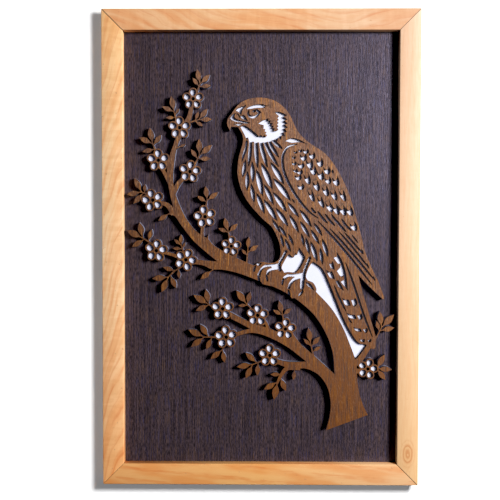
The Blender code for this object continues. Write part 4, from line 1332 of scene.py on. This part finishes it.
def white_face():
    """The smooth white sheet, a touch uneven."""
    graph = Graph("white_underlay")
    cloud = graph.grain((90, 90, 90), (0, 0, 0), 3, 0.5)
    fine = graph.grain((1200, 1200, 1200), (0, 0, 0), 2, 0.5)
    colour = graph.between_colours(cloud, 0.3, 0.7, (0.71, 0.72, 0.78), (0.74, 0.74, 0.78))
    graph.bump(fine, 0.00003, 0.4)
    return graph.finish(colour, graph.steps(cloud, 0.3, 0.7, 0.38, 0.46), 0.4)


def plain_board():
    """The plain brown board behind the veneer."""
    graph = Graph("plain_board_back")
    fibre = graph.grain((900, 900, 700), (0, 0, 0), 4, 0.65)
    cloud = graph.grain((40, 40, 30), (0, 0, 0), 2, 0.5)
    colour = graph.between_colours(fibre, 0.3, 0.7, (0.20, 0.115, 0.060), (0.33, 0.205, 0.115))
    colour = graph.painted(colour, (0.24, 0.14, 0.075), cloud, 0.3, 0.7, 0.3)
    graph.bump(fibre, 0.0001, 0.7)
    return graph.finish(colour, 0.75, 0.3)


def pale_stage():
    """The plain pale finish of the wall and the floor."""
    graph = Graph("plain_pale_stage")
    return graph.finish((0.9, 0.9, 0.9, 1), 0.9, 0.1)


# ---------------------------------------------------------------- stage, light, camera
# The stage's sizes, in metres, and how bright the world is seen and how weakly it lights.
STAGE_REACH = 3.0
FLOOR_DROP = 0.45
WALL_GAP = 0.0006
SEEN_WORLD = 0.8
LIT_WORLD = 0.03
WORLD_COLOUR = (0.78, 0.78, 1.0, 1)


def stage_piece(name, vertices, faces, material):
    """A flat piece of the stage, which is seen but sends no light back to the object."""
    mesh = bpy.data.meshes.new(name)
    mesh.from_pydata(vertices, [], faces)
    mesh.materials.append(material)
    piece = linked_object(name, mesh)
    piece.visible_diffuse = False
    piece.visible_glossy = False
    return piece


def rectangle(left, bottom, right, top):
    """A rectangle's corners, from the left one at the bottom round by the right."""
    return [(left, bottom), (right, bottom), (right, top), (left, top)]


def wall_and_floor(material):
    """A pale floor, and a pale wall with an opening behind the frame, so that its back shows."""
    floor_height = cad_low.z - FLOOR_DROP
    wall_y = cad_high.y + WALL_GAP
    reach = STAGE_REACH
    outer = rectangle(-reach, floor_height, reach, reach)
    inner = rectangle(cad_low.x, cad_low.z, cad_high.x, cad_high.z)
    corners = [(x, wall_y, z) for x, z in outer + inner]
    sides = [(i, (i + 1) % 4, 4 + (i + 1) % 4, 4 + i) for i in range(4)]
    wall = stage_piece("stage_wall", corners, sides, material)
    corners = [(x, y, floor_height) for x, y in rectangle(-reach, -reach, reach, reach)]
    floor = stage_piece("stage_floor", corners, [(0, 1, 2, 3)], material)
    return [wall, floor]


def place_lamp(lamp, place, lit):
    """Puts a lamp in the scene, for the listed objects alone."""
    holder = bpy.data.objects.new(lamp.name, lamp)
    holder.location = place
    bpy.context.scene.collection.objects.link(holder)
    group = bpy.data.collections.new(lamp.name + "_lit")
    for item in lit:
        group.objects.link(item)
    holder.light_linking.receiver_collection = group
    return holder


def sun(name, travel, strength, softness, colour, lit, shadows=True):
    """Parallel light that travels in a direction, for the listed objects alone."""
    lamp = bpy.data.lights.new(name, "SUN")
    lamp.energy = strength
    lamp.angle = math.radians(softness)
    lamp.color = colour
    lamp.use_shadow = shadows
    holder = place_lamp(lamp, CENTRE, lit)
    holder.rotation_mode = "QUATERNION"
    holder.rotation_quaternion = Vector(travel).to_track_quat("-Z", "Y")


def surroundings(seen, lit):
    """A plain pale world that is seen as bright as the stage, but lights only weakly."""
    world = bpy.data.worlds.new("surroundings")
    world.use_nodes = True
    bpy.context.scene.world = world
    tree = world.node_tree
    background = tree.nodes["Background"]
    background.inputs["Color"].default_value = WORLD_COLOUR
    path = tree.nodes.new("ShaderNodeLightPath")
    strength = tree.nodes.new("ShaderNodeMapRange")
    strength.inputs["To Min"].default_value = lit
    strength.inputs["To Max"].default_value = seen
    tree.links.new(path.outputs["Is Camera Ray"], strength.inputs["Value"])
    tree.links.new(strength.outputs[0], background.inputs["Strength"])


def round_lamp(name, place, radius, power, colour, lit, even=False):
    """A round soft lamp at a place from the frame's centre; an even one doesn't fade far off."""
    lamp = bpy.data.lights.new(name, "POINT")
    lamp.energy = power
    lamp.shadow_soft_size = radius
    lamp.color = colour
    if even:
        lamp.use_nodes = True
        falloff = lamp.node_tree.nodes.new("ShaderNodeLightFalloff")
        falloff.inputs["Strength"].default_value = 1
        strength = lamp.node_tree.nodes["Emission"].inputs["Strength"]
        lamp.node_tree.links.new(falloff.outputs["Constant"], strength)
    place_lamp(lamp, CENTRE + Vector(place), lit)


def light_everything(coloured, white, stage):
    """A key lamp, softer light on the white sheet and the wall, and light on the hidden sides."""
    surroundings(SEEN_WORLD, LIT_WORLD)
    # A round lamp has its place and radius in metres, its power and its colour; a sun has its
    # direction, its strength, its softness in degrees and its colour.
    round_lamp("key_lamp", (1.32, -1.20, 0.45), 0.26, 250, (1, 0.985, 0.97), coloured)
    round_lamp("white_lamp", (1.50, -1.14, 0.49), 0.39, 364, (0.86, 0.86, 0.91), white)
    sun("white_glow", (-0.95, 1, -0.32), 0.62, 50, (0.40, 0.47, 1), white)
    round_lamp("wall_lamp", (0.250, -0.490, 0.152), 0.09, 78, (1, 1, 1), stage, even=True)
    sun("wall_fill", (0, 1, -0.2), 0.70, 20, (1, 1, 1), stage, shadows=False)
    sun("left_light", (1, 0, -0.1), 1.1, 5, (1, 1, 1), coloured)
    sun("back_light", (0.3, -1, -0.3), 2.6, 20, (1, 1, 1), coloured + stage)


BLACK_LEVEL = 0.003
LENS = 50.0
SENSOR_WIDTH = 36
CAMERA_PLACE = (-0.0038, -0.6731, -0.1968)
CAMERA_TURN = (88.317, -0.095, 0.547)


def take_camera():
    """The camera: before the picture, a little above its middle, and turned slightly down."""
    lens = bpy.data.cameras.new("camera")
    lens.lens = LENS
    lens.sensor_width = SENSOR_WIDTH
    camera = bpy.data.objects.new("camera", lens)
    camera.location = CAMERA_PLACE
    camera.rotation_euler = [math.radians(angle) for angle in CAMERA_TURN]
    bpy.context.scene.collection.objects.link(camera)
    bpy.context.scene.camera = camera


def set_view(view):
    """Plain colours, with the deepest shadows brought down to black."""
    view.view_transform = "Standard"
    view.use_curve_mapping = True
    view.curve_mapping.black_level = (BLACK_LEVEL, BLACK_LEVEL, BLACK_LEVEL)
    view.curve_mapping.update()


# ---------------------------------------------------------------- the whole
# Each rail's tones are partly the wood's own and partly painted light and shade, set against the light
# on that rail: lighter mid-way along the left rail and towards the right end of the bottom rail.
RAILS = (
    # Node, inward direction, grain axis, tones from its low end to its high end,
    # rings (gap, slope, bend, wander, seed), bows and knots (middle, reach, push), strengths.
    ("frame_top_rail", (0, 0, -1), 0, ((0.74, 0.45, 0.25), (0.74, 0.46, 0.255), (0.65, 0.455, 0.315)),
     (9, 0, 0, 26, 3.3), ((0, 0.30, 55), (0.74, 0.15, -11)), (), (0.75, 0.45, 0.35)),
    ("frame_bottom_rail", (0, 0, 1), 0, ((0.75, 0.38, 0.14), (0.78, 0.42, 0.15), (0.78, 0.48, 0.26)),
     (11, 26, 0, 9, 5.1), (), (), (0.8, 0.6, 0.0)),
    ("frame_left_rail", (1, 0, 0), 2, ((0.90, 0.46, 0.18), (0.96, 0.70, 0.44), (0.93, 0.58, 0.28)),
     (11, -260, -0.04, 26, 8.2), (), (), (0.6, 0.6, 0.55)),
    ("frame_right_rail", (-1, 0, 0), 2, ((0.65, 0.41, 0.20), (0.73, 0.51, 0.335), (0.64, 0.43, 0.29)),
     (4.5, 9, 0, 9, 2.6), ((0.2, 0.12, 6),), (((0.067, 10), (0.024, 5.5), 13),), (0.15, 0.2, 0.1)),
)


def main():
    """Makes every piece, the stage, the light and the camera."""
    # Dark glue in the mitres, partly painted shade where the open joints would lie in shadow.
    dried_glue_and_shade = mitre_glue_and_shade()
    pieces = []
    for node, inward, *finish in RAILS:
        wood = rail_wood(node, inward, *finish)
        pieces.append(rail(node, inward, (wood, dried_glue_and_shade)))
    pieces.append(board((dark_veneer(), plain_board())))

    eyes = [blossom_eye(*row) for row in BLOSSOMS]
    backing = merged(picture_solids() + [tail_window()], eyes)
    underlay = cut_sheet("white_underlay", backing, UNDERLAY_FACE, PANEL_FACE,
                         False, (white_face(), white_edge()))
    picture = merged(picture_solids(), picture_openings() + eyes)
    pieces.append(cut_sheet("falcon_fretwork", picture, FRETWORK_FACE,
                            UNDERLAY_FACE, True, (brown_veneer(), burnt_edge())))

    light_everything(pieces, [underlay], wall_and_floor(pale_stage()))
    take_camera()
    set_view(bpy.context.scene.view_settings)


main()
